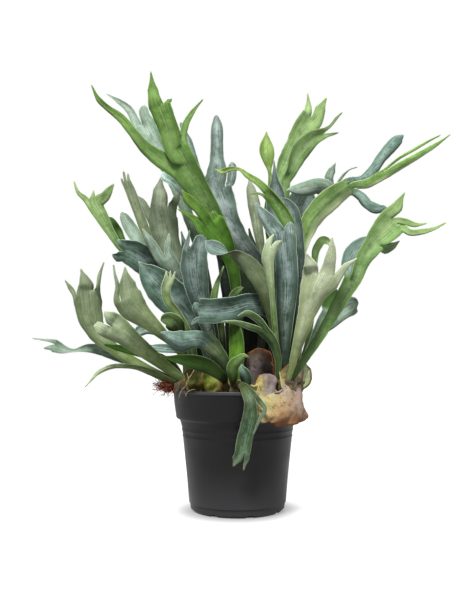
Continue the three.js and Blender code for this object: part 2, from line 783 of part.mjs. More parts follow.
            share: 0.65, rib: [[-1, 65, -92, 5.5, 0], [-6, 55, -90, 1, 0]],
          },
        ],
      },
    ],
  },
  frond_back_left: {
    face: UPPER, colour: 'upper',
    rib: [
      [-21, 172, 62, 4, 0], [-33, 214, 92, 5.5, 0], [-47, 256, 124, 9, 10],
      [-60, 293, 152, 12.5, 15], [-68, 319, 174, 15, 20],
    ],
    lobes: [
      {
        share: 0.5, sinus: 5, rib: [[-81, 337, 188, 8.5, 20], [-88, 350, 198, 1.5, 20]],
      },
      {
        share: 0.5, rib: [[-68, 341, 190, 8.5, 20], [-74, 365, 202, 1.5, 20]],
      },
    ],
  },
  frond_back_middle: {
    face: UPPER, colour: 'upper',
    rib: [
      [7, 169, 62, 4, 0], [15, 214, 96, 16, 0], [17, 251, 120, 20.5, 0], [16, 282, 138, 18.5, 0],
      [12, 303, 146, 15, 0],
    ],
    lobes: [
      {
        share: 0.5, sinus: 3, rib: [[4, 318, 150, 7.5, 0], [2, 329, 152, 1.5, 0]],
      },
      {
        share: 0.5, rib: [[19, 322, 152, 7.5, 0], [19, 345, 158, 7, 0], [15, 369, 162, 1.5, 0]],
      },
    ],
  },
  frond_back_right: {
    face: UPPER, colour: 'upper',
    rib: [
      [27, 172, 62, 4, 0], [37, 215, 92, 7.5, -10], [45, 261, 112, 12, -10], [53, 306, 122, 15, -10],
      [62, 347, 124, 18, -10], [74, 378, 122, 22, 0], [83, 396, 120, 23.5, 0],
      [90, 411, 119, 17.5, 0], [94, 419, 118, 7.5, 0],
    ],
  },
  frond_back_low: {
    face: UPPER, colour: 'upper',
    rib: [
      [3, 168, 66, 4, 0], [-2, 193, 100, 10, 0], [-6, 215, 138, 15, 0], [-6, 232, 164, 15.5, 0],
      [-2, 241, 186, 9.5, 0], [2, 245, 200, 1.5, 0],
    ],
  },
};

// Shield fronds, which wrap the rhizomes and hang over the rim
const SHIELDS = {
  shield_front: {
    face: UPPER, colour: 'papery', cup: -0.3,
    rib: [
      [77, 111, -73, 27, -40], [77, 122, -76, 29.5, -40], [71, 135, -78, 37, -40],
      [61, 147, -78, 42.5, -40], [53, 157, -76, 42.5, -38],
    ],
    lobes: [
      {
        share: 0.58, sinus: -1, rib: [[36, 167, -82, 20, -32], [29, 176, -82, 12.5, -26]],
      },
      {
        share: 0.42, rib: [[81, 174, -46, 13, -40], [84, 185, -41, 11, -50], [86, 195, -39, 7.5, -60]],
      },
    ],
  },
  shield_back: {
    face: UNDER, colour: 'papery',
    rib: [
      [36, 159, -56, 15, 0], [30, 177, -50, 17.5, 0], [27, 193, -46, 19.5, 0],
      [28, 206, -42, 16.5, 0], [27, 212, -40, 7.5, 0],
    ],
  },
  shield_lime: {
    face: UPPER, colour: 'fresh',
    rib: [
      [76, 159, -38, 4, 0], [84, 164, -36, 7, 0], [88, 173, -33, 8.5, 0], [89, 184, -33, 5.5, 0],
      [89, 191, -33, 1.5, 0],
    ],
  },
  shield_left: {
    face: UPPER, colour: 'fresh',
    rib: [
      [-56, 151, -44, 10, 0], [-56, 168, -52, 12.5, 0], [-56, 181, -54, 11, 0],
      [-56, 188, -54, 5, 0],
    ],
  },
  shield_centre: {
    face: UPPER, colour: 'fresh',
    rib: [
      [-29, 151, -54, 10.5, 0], [-34, 166, -60, 10.5, 0], [-38, 177, -60, 10, 0],
      [-40, 184, -58, 5, 0],
    ],
  },
};

// Creeping stems as chains of lumps [x, y, z, radius] that lie on the growing mix
const RHIZOMES = {
  rhizome_left: [[-66, -32, 161, 16], [-70, -16, 160, 15]],
  rhizome_right: [[56, -50, 162, 19], [68, -30, 163, 18], [70, -6, 164, 16]],
  rhizome_middle: [
    [2, -56, 159, 15], [-14, -42, 161, 17], [-30, -24, 163, 18], [-42, 8, 166, 20], [-6, 12, 162, 20],
    [-34, 38, 166, 20], [-10, 54, 164, 19], [16, 60, 162, 18], [40, 46, 163, 21],
  ],
};

const standpoint = new THREE.Vector3(0, -STAND_OFF, EYE_LEVEL);
const wasm = await Module();
wasm.setup();

// Solids and meshes

function toSolid(geometry) {
  const bare = geometry.clone();
  bare.deleteAttribute('normal');
  bare.deleteAttribute('uv');
  const merged = mergeVertices(bare, 1e-4);
  const corners = Array.from(merged.index.array);
  const triangles = [];
  for (let i = 0; i < corners.length; i += 3) {
    const triangle = corners.slice(i, i + 3);
    if (new Set(triangle).size === 3) triangles.push(...triangle);
  }
  return new wasm.Manifold(new wasm.Mesh({
    numProp: 3,
    vertProperties: new Float32Array(merged.attributes.position.array),
    triVerts: new Uint32Array(triangles),
  }));
}

function toGeometry(solid) {
  const mesh = solid.getMesh();
  const geometry = new THREE.BufferGeometry();
  geometry.setAttribute('position', new THREE.Float32BufferAttribute(mesh.vertProperties, 3));
  geometry.setIndex(new THREE.Uint32BufferAttribute(mesh.triVerts, 1));
  geometry.computeVertexNormals();
  return geometry;
}

function largestPiece(solid) {
  const pieces = solid.decompose();
  return pieces.reduce((best, piece) => (piece.volume() > best.volume() ? piece : best));
}

function turned(profile, segments) {
  const geometry = new THREE.LatheGeometry(profile.map(([r, z]) => new THREE.Vector2(r, z)), segments);
  geometry.rotateX(Math.PI / 2);
  return geometry;
}

// Pot and growing mix

function potOutside() {
  return [
    [FOOT_RADIUS, 0], [FOOT_STEP_RADIUS, 3.5], [FOOT_STEP_RADIUS + 1.3, 11], [BODY_RADIUS - 2.6, 77],
    [BODY_RADIUS, 101], [SHOULDER_RADIUS, 117.5], [COLLAR_RADIUS, POT_HEIGHT - COLLAR_DROP],
    [RIM_RADIUS - 2.5, 130], [RIM_RADIUS - 1.2, POT_HEIGHT - RIM_LIP - 1.5], [RIM_RADIUS, POT_HEIGHT - RIM_LIP],
    [RIM_RADIUS, POT_HEIGHT - 0.6], [RIM_RADIUS - 0.6, POT_HEIGHT],
  ];
}

function potInside() {
  return [
    [RIM_RADIUS - WALL - 0.6, POT_HEIGHT], [RIM_RADIUS - WALL - 2.5, 130],
    [COLLAR_RADIUS - WALL, POT_HEIGHT - COLLAR_DROP + 1.5], [SHOULDER_RADIUS - WALL, 118.5],
    [BODY_RADIUS - WALL - 0.3, 98], [FOOT_STEP_RADIUS - WALL, FLOOR],
  ];
}

function makePot() {
  let solid = toSolid(turned([[0, 0], ...potOutside(), ...potInside(), [0, FLOOR]], POT_SEGMENTS));
  for (let i = 0; i < DRAIN_COUNT; i++) {
    const notch = new THREE.BoxGeometry(DRAIN_DEPTH, DRAIN_WIDTH, DRAIN_HEIGHT * 2);
    notch.translate(FOOT_STEP_RADIUS - 1, 0, 0);
    notch.rotateZ(THREE.MathUtils.degToRad(DRAIN_TURN + (i * 360) / DRAIN_COUNT));
    solid = solid.subtract(toSolid(notch));
  }
  return toGeometry(solid);
}

function makeSoil() {
  const side = potInside().filter(([, z]) => z < SOIL_TOP).reverse()
    .map(([r, z]) => [r - CLEARANCE, Math.max(z, FLOOR + CLEARANCE)]);
  const top = RIM_RADIUS - WALL - 1.6 - CLEARANCE;
  return turned([[0, FLOOR + CLEARANCE], ...side, [top, SOIL_TOP], [0, SOIL_TOP]], SOIL_SEGMENTS);
}

// Rhizomes

function lumpChain(lumps, extra) {
  const solids = lumps.map(([x, y, z, radius]) => {
    const lump = new THREE.IcosahedronGeometry(radius + extra, 1);
    lump.translate(x, y, z);
    return toSolid(lump);
  });
  return solids.reduce((whole, lump) => whole.add(lump));
}

// The growing mix and the pot's wall with their clearance, as one filled tub with a rim
function makeTub() {
  const mouth = RIM_RADIUS - WALL - 3;
  const outside = potOutside().map(([r, z]) => [r + CLEARANCE, z]);
  outside[outside.length - 1] = [RIM_RADIUS + CLEARANCE, POT_HEIGHT + CLEARANCE];
  return toSolid(turned([
    [0, 0], ...outside, [mouth, POT_HEIGHT + CLEARANCE], [mouth, SOIL_TOP + CLEARANCE], [0, SOIL_TOP + CLEARANCE],
  ], POT_SEGMENTS));
}

function makeRhizome(lumps, tub) {
  return toGeometry(largestPiece(lumpChain(lumps, 0).subtract(tub)));
}

// Blades: a rib with stations [across, up, back, half width, roll], split into lobes at its end

function sighted([across, up, back, half, roll]) {
  const point = new THREE.Vector3(across, 0, up).sub(standpoint)
    .multiplyScalar((STAND_OFF + back) / STAND_OFF).add(standpoint);
  return [point.x, point.y, point.z, half, roll];
}

function stationSlopes(stations, gaps, startTangent) {
  const rise = (i) => stations[i].map((value, k) => (stations[i + 1][k] - value) / gaps[i]);
  return stations.map((_, i) => {
    if (i === 0) {
      const after = rise(0);
      return startTangent ? [...startTangent.toArray(), ...after.slice(3)] : after;
    }
    const before = rise(i - 1);
    if (i + 1 === stations.length) return before;
    const after = rise(i);
    const total = gaps[i - 1] + gaps[i];
    return before.map((value, k) => (value * gaps[i] + after[k] * gaps[i - 1]) / total);
  });
}

function hermite(a, b, slopeA, slopeB, s) {
  const square = s * s;
  const cube = square * s;
  return a * (2 * cube - 3 * square + 1) + b * (3 * square - 2 * cube)
    + slopeA * (cube - 2 * square + s) + slopeB * (cube - square);
}

function smoothRows(stations, startTangent) {
  const gaps = stations.slice(1).map((next, i) => {
    const last = stations[i];
    return Math.max(0.5, Math.hypot(next[0] - last[0], next[1] - last[1], next[2] - last[2]));
  });
  const slopes = stationSlopes(stations, gaps, startTangent);
  const rows = [stations[0]];
  gaps.forEach((gap, i) => {
    const steps = Math.max(1, Math.round(gap / ROW_STEP));
    for (let j = 1; j <= steps; j++) {
      const row = stations[i].map((value, k) => hermite(
        value, stations[i + 1][k], slopes[i][k] * gap, slopes[i + 1][k] * gap, j / steps));
      row[3] = Math.max(row[3], NARROWEST);
      rows.push(row);
    }
  });
  return rows;
}

// At roll 0 the width of a row lies square to both the rib and the line of sight
function rowFrames(rows, startTangent) {
  const at = (i) => new THREE.Vector3(...rows[THREE.MathUtils.clamp(i, 0, rows.length - 1)].slice(0, 3));
  return rows.map((row, i) => {
    const point = at(i);
    const tangent = i === 0 && startTangent ? startTangent.clone() : at(i + 1).sub(at(i - 1)).normalize();
    const sight = point.clone().sub(standpoint).normalize();
    const side = new THREE.Vector3().crossVectors(sight, tangent).normalize();
    const front = new THREE.Vector3().crossVectors(side, tangent);
    const roll = THREE.MathUtils.degToRad(row[4]);
    const width = side.clone().multiplyScalar(Math.cos(roll)).addScaledVector(front, Math.sin(roll));
    const normal = front.clone().multiplyScalar(Math.cos(roll)).addScaledVector(side, -Math.sin(roll));
    return { point, tangent, width, normal, half: row[3], roll: row[4] };
  });
}

function tipCount(part) {
  return part.lobes ? part.lobes.reduce((sum, lobe) => sum + tipCount(lobe), 0) : 1;
}

// Fractions of the width at which columns run, so that each lobe takes whole columns
function columnFractions(part, columnsPerTip) {
  if (!part.lobes) return Array.from({ length: columnsPerTip + 1 }, (_, i) => i / columnsPerTip);
  const fractions = [0];
  let from = 0;
  for (const lobe of part.lobes) {
    for (const f of columnFractions(lobe, columnsPerTip).slice(1)) fractions.push(from + f * lobe.share);
    from += lobe.share;
  }
  return fractions;
}

// How far the end row of a forked part is pushed on towards the notches between its lobes
function notchReach(part, fraction) {
  let from = 0;
  let reach = 0;
  for (const [i, lobe] of part.lobes.entries()) {
    const next = i + 1 < part.lobes.length ? lobe.sinus : 0;
    if (fraction <= from + lobe.share + 1e-6) return reach + ((next - reach) * (fraction - from)) / lobe.share;
    from += lobe.share;
    reach = next;
  }
  return 0;
}

// How the jump between a fork's end row and a lobe's own first row dies out along the lobe, without folding back
function fadeOf(offsets, frames) {
  const jump = Math.max(...offsets.map((offset) => offset.length()));
  const room = frames.slice(1).reduce((sum, frame, i) => sum + frame.point.distanceTo(frames[i].point), 0);
  const length = Math.min(Math.max(FADE_LENGTH, FADE_STRETCH * jump), room);
  return { length, power: length < FADE_STRETCH * jump ? 1 : 2 };
}

function bladeSheet(blade) {
  const points = [];
  const quads = [];
  const cup = blade.face * (blade.cup ?? CUP);
  const columnsPerTip = tipCount(blade) > 1 ? 1 : 2;

  function grow(part, stations, startRow, startTangent) {
    const fractions = columnFractions(part, columnsPerTip);
    const frames = rowFrames(smoothRows(stations, startTangent), startTangent);
    const place = (frame, fraction) => {
      const q = 2 * fraction - 1;
      return frame.point.clone().addScaledVector(frame.width, q * frame.half)
        .addScaledVector(frame.normal, cup * frame.half * q * q);
    };
    const offsets = startRow?.map((index, i) => points[index].clone().sub(place(frames[0], fractions[i])));
    const fading = offsets && fadeOf(offsets, frames);
    let previous = startRow;
    let travelled = 0;
    frames.forEach((frame, r) => {
      if (r > 0) travelled += frame.point.distanceTo(frames[r - 1].point);
      if (r === 0 && startRow) return;
      const fade = fading ? Math.max(0, 1 - travelled / fading.length) ** fading.power : 0;
      const row = fractions.map((fraction, i) => {
        const vertex = place(frame, fraction);
        if (offsets) vertex.addScaledVector(offsets[i], fade);
        if (part.lobes && r === frames.length - 1) {
          vertex.addScaledVector(frame.tangent, notchReach(part, fraction));
        }
        return points.push(vertex) - 1;
      });
      for (let i = 0; previous && i + 1 < row.length; i++) {
        quads.push([previous[i], previous[i + 1], row[i + 1], row[i]]);
      }
      previous = row;
    });
    const end = frames[frames.length - 1];
    let from = 0;
    for (const lobe of part.lobes ?? []) {
      const slice = previous.slice(from, from + tipCount(lobe) * columnsPerTip + 1);
      from += slice.length - 1;
      const left = points[slice[0]];
      const right = points[slice[slice.length - 1]];
      const middle = left.clone().add(right).multiplyScalar(0.5);
      const first = [...middle.toArray(), left.distanceTo(right) / 2, end.roll];
      grow(lobe, [first, ...lobe.rib.map(sighted)], slice, end.tangent);
    }
  }

  grow(blade, blade.rib.map(sighted), null, null);
  return { points, quads };
}

// Gives a sheet its thickness, with the same triangles on both faces and a wall round the edge
function thicken({ points, quads }, thickness) {
  const triangles = quads.flatMap(([a, b, c, d]) => [[a, b, c], [a, c, d]]);
  const normals = points.map(() => new THREE.Vector3());
  const rim = new Map();
  for (const [a, b, c] of triangles) {
    const normal = new THREE.Vector3().crossVectors(
      points[b].clone().sub(points[a]), points[c].clone().sub(points[a]));
    for (const i of [a, b, c]) normals[i].add(normal);
    for (const [from, to] of [[a, b], [b, c], [c, a]]) {
      if (!rim.delete(`${to} ${from}`)) rim.set(`${from} ${to}`, [from, to]);
    }
  }
  const positions = [0.5, -0.5].flatMap((side) => points.flatMap((point, i) => point.clone()
    .addScaledVector(normals[i].clone().normalize(), side * thickness).toArray()));
  const behind = points.length;
  const index = triangles.flatMap(([a, b, c]) => [a, b, c, behind + c, behind + b, behind + a]);
  for (const [from, to] of rim.values()) {
    index.push(from, behind + from, behind + to, from, behind + to, to);
  }
  const geometry = new THREE.BufferGeometry();
  geometry.setAttribute('position', new THREE.Float32BufferAttribute(positions, 3));
  geometry.setIndex(index);
  return geometry;
}

function makeBlade(blade, thickness, keepClear) {
  const solid = toSolid(thicken(bladeSheet(blade), thickness));
  return toGeometry(largestPiece(solid.subtract(keepClear)));
}

// The whole plant

function piece(name, geometry, colour, roughness) {
  geometry.computeVertexNormals();
  const material = new THREE.MeshStandardMaterial({ color: colour, roughness, metalness: 0 });
  const mesh = new THREE.Mesh(geometry, material);
  mesh.name = name;
  return mesh;
}

const group = new THREE.Group();
group.add(piece('pot', makePot(), COLOURS.pot, 0.55));
group.add(piece('growing_mix', makeSoil(), COLOURS.soil, 0.95));

const tub = makeTub();
let keepClear = tub;
for (const [name, lumps] of Object.entries(RHIZOMES)) {
  group.add(piece(name, makeRhizome(lumps, tub), COLOURS.rhizome, 0.9));
  keepClear = keepClear.add(lumpChain(lumps, CLEARANCE));
}
for (const [name, blade] of Object.entries(FRONDS)) {
  group.add(piece(name, makeBlade(blade, BLADE_THICKNESS, keepClear), COLOURS[blade.colour], 0.6));
}
for (const [name, blade] of Object.entries(SHIELDS)) {
  group.add(piece(name, makeBlade(blade, SHIELD_THICKNESS, keepClear), COLOURS[blade.colour], 0.8));
}

export default group;
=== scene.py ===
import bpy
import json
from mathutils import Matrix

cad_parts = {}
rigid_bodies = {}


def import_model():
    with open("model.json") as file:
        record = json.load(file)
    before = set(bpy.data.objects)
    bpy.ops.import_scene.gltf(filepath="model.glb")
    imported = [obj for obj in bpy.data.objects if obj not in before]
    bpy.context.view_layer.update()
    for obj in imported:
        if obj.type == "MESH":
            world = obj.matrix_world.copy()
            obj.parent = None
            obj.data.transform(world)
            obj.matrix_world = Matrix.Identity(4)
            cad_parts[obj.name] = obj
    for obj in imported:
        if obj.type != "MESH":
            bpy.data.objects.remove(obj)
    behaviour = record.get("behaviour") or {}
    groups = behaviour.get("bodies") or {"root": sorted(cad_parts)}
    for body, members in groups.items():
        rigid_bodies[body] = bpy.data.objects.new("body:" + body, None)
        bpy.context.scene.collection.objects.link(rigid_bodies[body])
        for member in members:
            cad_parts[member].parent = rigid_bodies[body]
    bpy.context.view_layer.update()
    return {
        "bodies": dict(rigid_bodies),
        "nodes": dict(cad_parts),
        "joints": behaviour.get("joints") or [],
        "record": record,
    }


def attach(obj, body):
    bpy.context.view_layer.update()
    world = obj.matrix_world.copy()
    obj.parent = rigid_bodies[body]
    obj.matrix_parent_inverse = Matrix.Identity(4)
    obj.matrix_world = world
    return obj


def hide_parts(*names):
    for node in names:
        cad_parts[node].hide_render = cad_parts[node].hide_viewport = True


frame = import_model()

import functools
import json
import math
import random

import bpy
import numpy as np
from mathutils import Matrix, Vector, noise

# Sizes are in millimetres, as in the solids, and MM turns them into the scene's metres

MM = 0.001

# The camera's distance from the pot's axis, and its height
STAND_OFF = 1000
EYE_LEVEL = 210

# Blades: thickness in the middle and at the margin, and how wide the thin margin is
BLADE_THICKNESS = 1.1
SHIELD_THICKNESS = 1.3
EDGE_THICKNESS = 0.3
EDGE_TAPER = 2.5

# How fine a blade is drawn
ROW_STEP = 2.5
COLUMN_WIDTH = 2.4
FEWEST_COLUMNS = 6
FEWEST_COLUMNS_OF_LOBES = 4
NARROWEST = 0.4
NARROWEST_TIP = 0.24

# Lobes: how hollow they narrow, the half width below which a tip is drawn out, how far a lobe takes to leave the
# shape of the blade before it, how far a blade is pushed towards its notches, and how far a lobe's own tint takes
HOLLOW = 1.7
SHARP_TIP = 2.5
FADE_LENGTH = 14
FADE_STRETCH = 2.4
PUSH_LENGTH = 8
PUSH_STRETCH = 2.2
TINT_LENGTH = 9

# The hollow across a blade and the rib along it, as shares of its half width
CUP = 0.22
RIB_HEIGHT = 0.035
RIB_WIDTH = 0.16

# Waves, swells, uneven margins and wrinkles: how long they are, how far the two margins are out of step, and the
# half width from which a blade has them at their full height
WAVE_LENGTH = 11
WAVE_APART = 2.1
SWELL_LENGTH = 30
SWELL_WIDTH = 16
RAGGED_LENGTH = 9
RAGGED_APART = 7.3
WRINKLE_LENGTH = 11
FULL_RELIEF = 8

# Painted shade in the heart of the plant: its middle in metres, how far it reaches, from front to back, and how dark
# it is
HEART = (0.0, 0.0, 0.25)
HEART_REACH = (0.15, 0.07)
HEART_FRONT = (-0.04, 0.025)
HEART_SHADE = 0.94

# The white floor's own light, and the painted shadow close round the pot's foot
FLOOR_GLOW = 0.93
FOOT_RADIUS = 58
FOOT_REACH = 96
FOOT_SHADE = 0.62


# Colours, as sRGB hexadecimals


def rgb(code, shade=1.0):
    """A hexadecimal sRGB colour, made lighter or darker by shade, as the linear values that a shader takes."""
    channels = [int(code[i:i + 2], 16) / 255 for i in (0, 2, 4)]
    return (*(shade * (c / 12.92 if c <= 0.04045 else ((c + 0.055) / 1.055) ** 2.4) for c in channels), 1.0)


# Looks of the fronds. "run" goes from foot to tip, its dark foot partly painted shade low in the plant. "deep"
# shows where felt is rubbed off, by the wear share, and with the same share darkens the flanks as painted shade.
# "felt" lightens the middle by the sheen share, as felt and painted sheen, and "margin" colours a hem of "hem"
# millimetres by "rim" and one half by "lit", as painted light


def look(run, deep, felt, margin, wear_and_shade=0.5, felt_and_sheen=0.35, rim=0.5, hem=0.9, lit=0.0):
    return {"run": run, "deep": deep, "felt": felt, "margin": margin, "wear_and_shade": wear_and_shade, "felt_and_sheen": felt_and_sheen, "rim": rim,
            "hem": hem, "lit": lit}


BLUE = look([(0, "1f2c16"), (0.3, "33452f"), (0.6, "546a60"), (1, "768a80")], "2a3e30", "abbab8", "bcc8c0",
    wear_and_shade=0.55, felt_and_sheen=0.5, rim=0.6, hem=1)
PALE_BLUE = look([(0, "2c3d1c"), (0.35, "4d6352"), (0.65, "74887e"), (1, "768b7c")], "3c5442", "bfcccb",
    "c4cec4", felt_and_sheen=0.75, rim=0.6, hem=1)
SLATE = look([(0, "1c280e"), (0.35, "2f4030"), (0.7, "465c50"), (1, "4f6654")], "1b2c1f", "8fa09e", "aab8ae",
    wear_and_shade=0.6, felt_and_sheen=0.5, rim=0.6)
SEA = look([(0, "40572f"), (0.4, "647c62"), (0.75, "829a84"), (1, "92a693")], "486048", "c0ccc2", "d0dacb",
    wear_and_shade=0.45, felt_and_sheen=0.45, rim=0.6, hem=1)
OLIVE = look([(0, "46582c"), (0.35, "607338"), (0.7, "7d8c66"), (1, "909d80")], "445a30", "bcc7a8", "c8d1b0",
    wear_and_shade=0.4, felt_and_sheen=0.3, hem=1)
STRIPED = look([(0, "3a5220"), (0.4, "466124"), (0.6, "65804a"), (1, "6a9640")], "2f4719", "acb98a", "c0caa2",
    felt_and_sheen=0.15, hem=1, lit=0.6)
GREY = look([(0, "28331c"), (0.4, "4a593c"), (0.75, "6e7b62"), (1, "8f9a80")], "414f36", "a9b29c", "b9c2ac",
    wear_and_shade=0.45, rim=0.45, hem=1)
BRIGHT = look([(0, "36501f"), (0.35, "52703a"), (0.65, "638542"), (1, "7aa04c")], "335720", "9ab67a", "a9c484",
    wear_and_shade=0.45, rim=0.35)
FRESH = look([(0, "3b5526"), (0.4, "5c7a42"), (0.7, "76965a"), (1, "98b472")], "46692f", "bad09a", "c3d5a2",
    wear_and_shade=0.4, rim=0.35)
DEEP = look([(0, "253a0e"), (0.4, "315014"), (0.7, "3f671b"), (0.88, "577f30"), (1, "7fa648")], "1d340c",
    "6f9440", "9db56c", felt_and_sheen=0.2, rim=0.3)
DARK = look([(0, "263606"), (0.5, "182c02"), (1, "244208")], "142205", "47682a", "6f8c48", felt_and_sheen=0.12, rim=0.25,
    hem=0.8)
BLADE = look([(0, "54781c"), (0.42, "5e8a24"), (0.62, "355410"), (1, "2a420e")], "24400c", "7d9c48", "9db56c",
    felt_and_sheen=0.12, rim=0.3)
CURL = look([(0, "42401c"), (0.4, "38531c"), (1, "5f7a40")], "263c12", "8fa672", "a9ba8c", felt_and_sheen=0.2, rim=0.4)
FOLD = look([(0, "4c6032"), (0.4, "314a1c"), (0.7, "263c18"), (1, "62774e")], "1a2b0e", "7f9468", "a3b290",
    felt_and_sheen=0.25, rim=0.7, hem=1.2)
TEAL = look([(0, "2c4023"), (0.4, "3a5038"), (0.7, "4c6654"), (1, "678264")], "22361f", "869c90", "a5b59c",
    wear_and_shade=0.6, rim=0.4)
HUNG = look([(0, "55502c"), (0.25, "4c5530"), (0.6, "4a6448"), (0.9, "607a58"), (1, "6f6a40")], "243717",
    "869c88", "a5b59c", wear_and_shade=0.6, rim=0.4)
PALE = look([(0, "5c6a38"), (0.35, "7d8a5a"), (0.7, "9ca784"), (1, "b2bca0")], "6a784c", "cdd4bc", "dbe1cd",
    wear_and_shade=0.35, felt_and_sheen=0.45, rim=0.6, hem=1)
# Painted shade: PADDLE's foot half is almost black, as in the shade low in the plant
PADDLE = look([(0, "0c1307"), (0.45, "18230d"), (0.62, "6d7c56"), (1, "aab598")], "55653f", "cdd4bc", "dbe1cd",
    wear_and_shade=0.35, felt_and_sheen=0.4, hem=1)
BUD = look([(0, "253a14"), (0.5, "2f4a1c"), (0.75, "547c2c"), (1, "a8c66a")], "2c4716", "b7cf90", "bcd08e",
    wear_and_shade=0.4, rim=0.35)
SPROUT = look([(0, "40581f"), (0.5, "5a7838"), (0.75, "8fa274"), (1, "b7c4a2")], "466228", "ccd6bc", "dde4cd",
    wear_and_shade=0.35)
CREST = look([(0, "2c4016"), (0.5, "3a5420"), (0.75, "6d8450"), (1, "a9b792")], "2c4216", "a9b88a", "c3cea8",
    wear_and_shade=0.4, felt_and_sheen=0.3)
# Painted shade: SHOOT's foot is almost black, as in the shade of the plant's heart
SHOOT = look([(0, "070c04"), (0.5, "0d1607"), (0.7, "46692a"), (1, "8fab72")], "1f3410", "8fae68", "b4c694",
    wear_and_shade=0.4, felt_and_sheen=0.3)
# Painted shade: PLEAT's foot is almost black, as in the shade low in the plant
PLEAT = look([(0, "10190a"), (0.3, "2c3c1a"), (0.55, "7d8f68"), (1, "7b8c66")], "3c5030", "a3b18e", "bcc6a8",
    wear_and_shade=0.4, felt_and_sheen=0.3, rim=0.6, hem=1.1)
SHADED = look([(0, "0a1106"), (0.5, "121d09"), (1, "2f4427")], "0a1205", "465c40", "56694a", felt_and_sheen=0.1, rim=0.3,
    hem=0.8)

# Lobes whose tint is above or below 0
LOBE_SEA = look([(0, "5c7766"), (1, "708c7c")], "405a4e", "b4c6c2", "ccd6cc", felt_and_sheen=0.5, rim=0.6, hem=1)
LOBE_DEEP = look([(0, "2a4614"), (1, "35571c")], "203a10", "6f9050", "93ad6c", felt_and_sheen=0.2, rim=0.35)

# The side of a frond that faces away, by the side that is seen
UPPER_BEHIND = look([(0, "2c3c1b"), (0.4, "4a5f48"), (1, "72887e")], "344a38", "a3b2b4", "bcc7c0", felt_and_sheen=0.4,
    rim=0.6, hem=1)
UNDER_BEHIND = look([(0, "46582c"), (0.4, "697a46"), (1, "8b9976")], "506438", "b3bf9a", "c2cba6", wear_and_shade=0.35,
    felt_and_sheen=0.25, hem=1)


# Shapes of the blades


def stations(text):
    """The stations of a rib, each "across up back half_width roll", with the roll left out where it is 0."""
    return [[float(number) for number in station.split()] for station in text.split(",")]


def lobe(share, sinus, rib, *lobes, tint=None):
    """A lobe takes a share of the width of what it grows from. sinus is the depth of the notch after it."""
    return {"share": share, "sinus": sinus, "rib": stations(rib), "lobes": lobes, "tint": tint}


def blade(rib, *lobes, face=1, cup=CUP):
    """A blade whose upper side is seen where face is 1, and its felted under side where it is -1."""
    return {"rib": stations(rib), "lobes": lobes, "face": face, "cup": cup}


def frond(look, shade, rib, *lobes, **settings):
    """A blade with its look and how light it is."""
    return {"look": look, "shade": shade, **blade(rib, *lobes, **settings)}


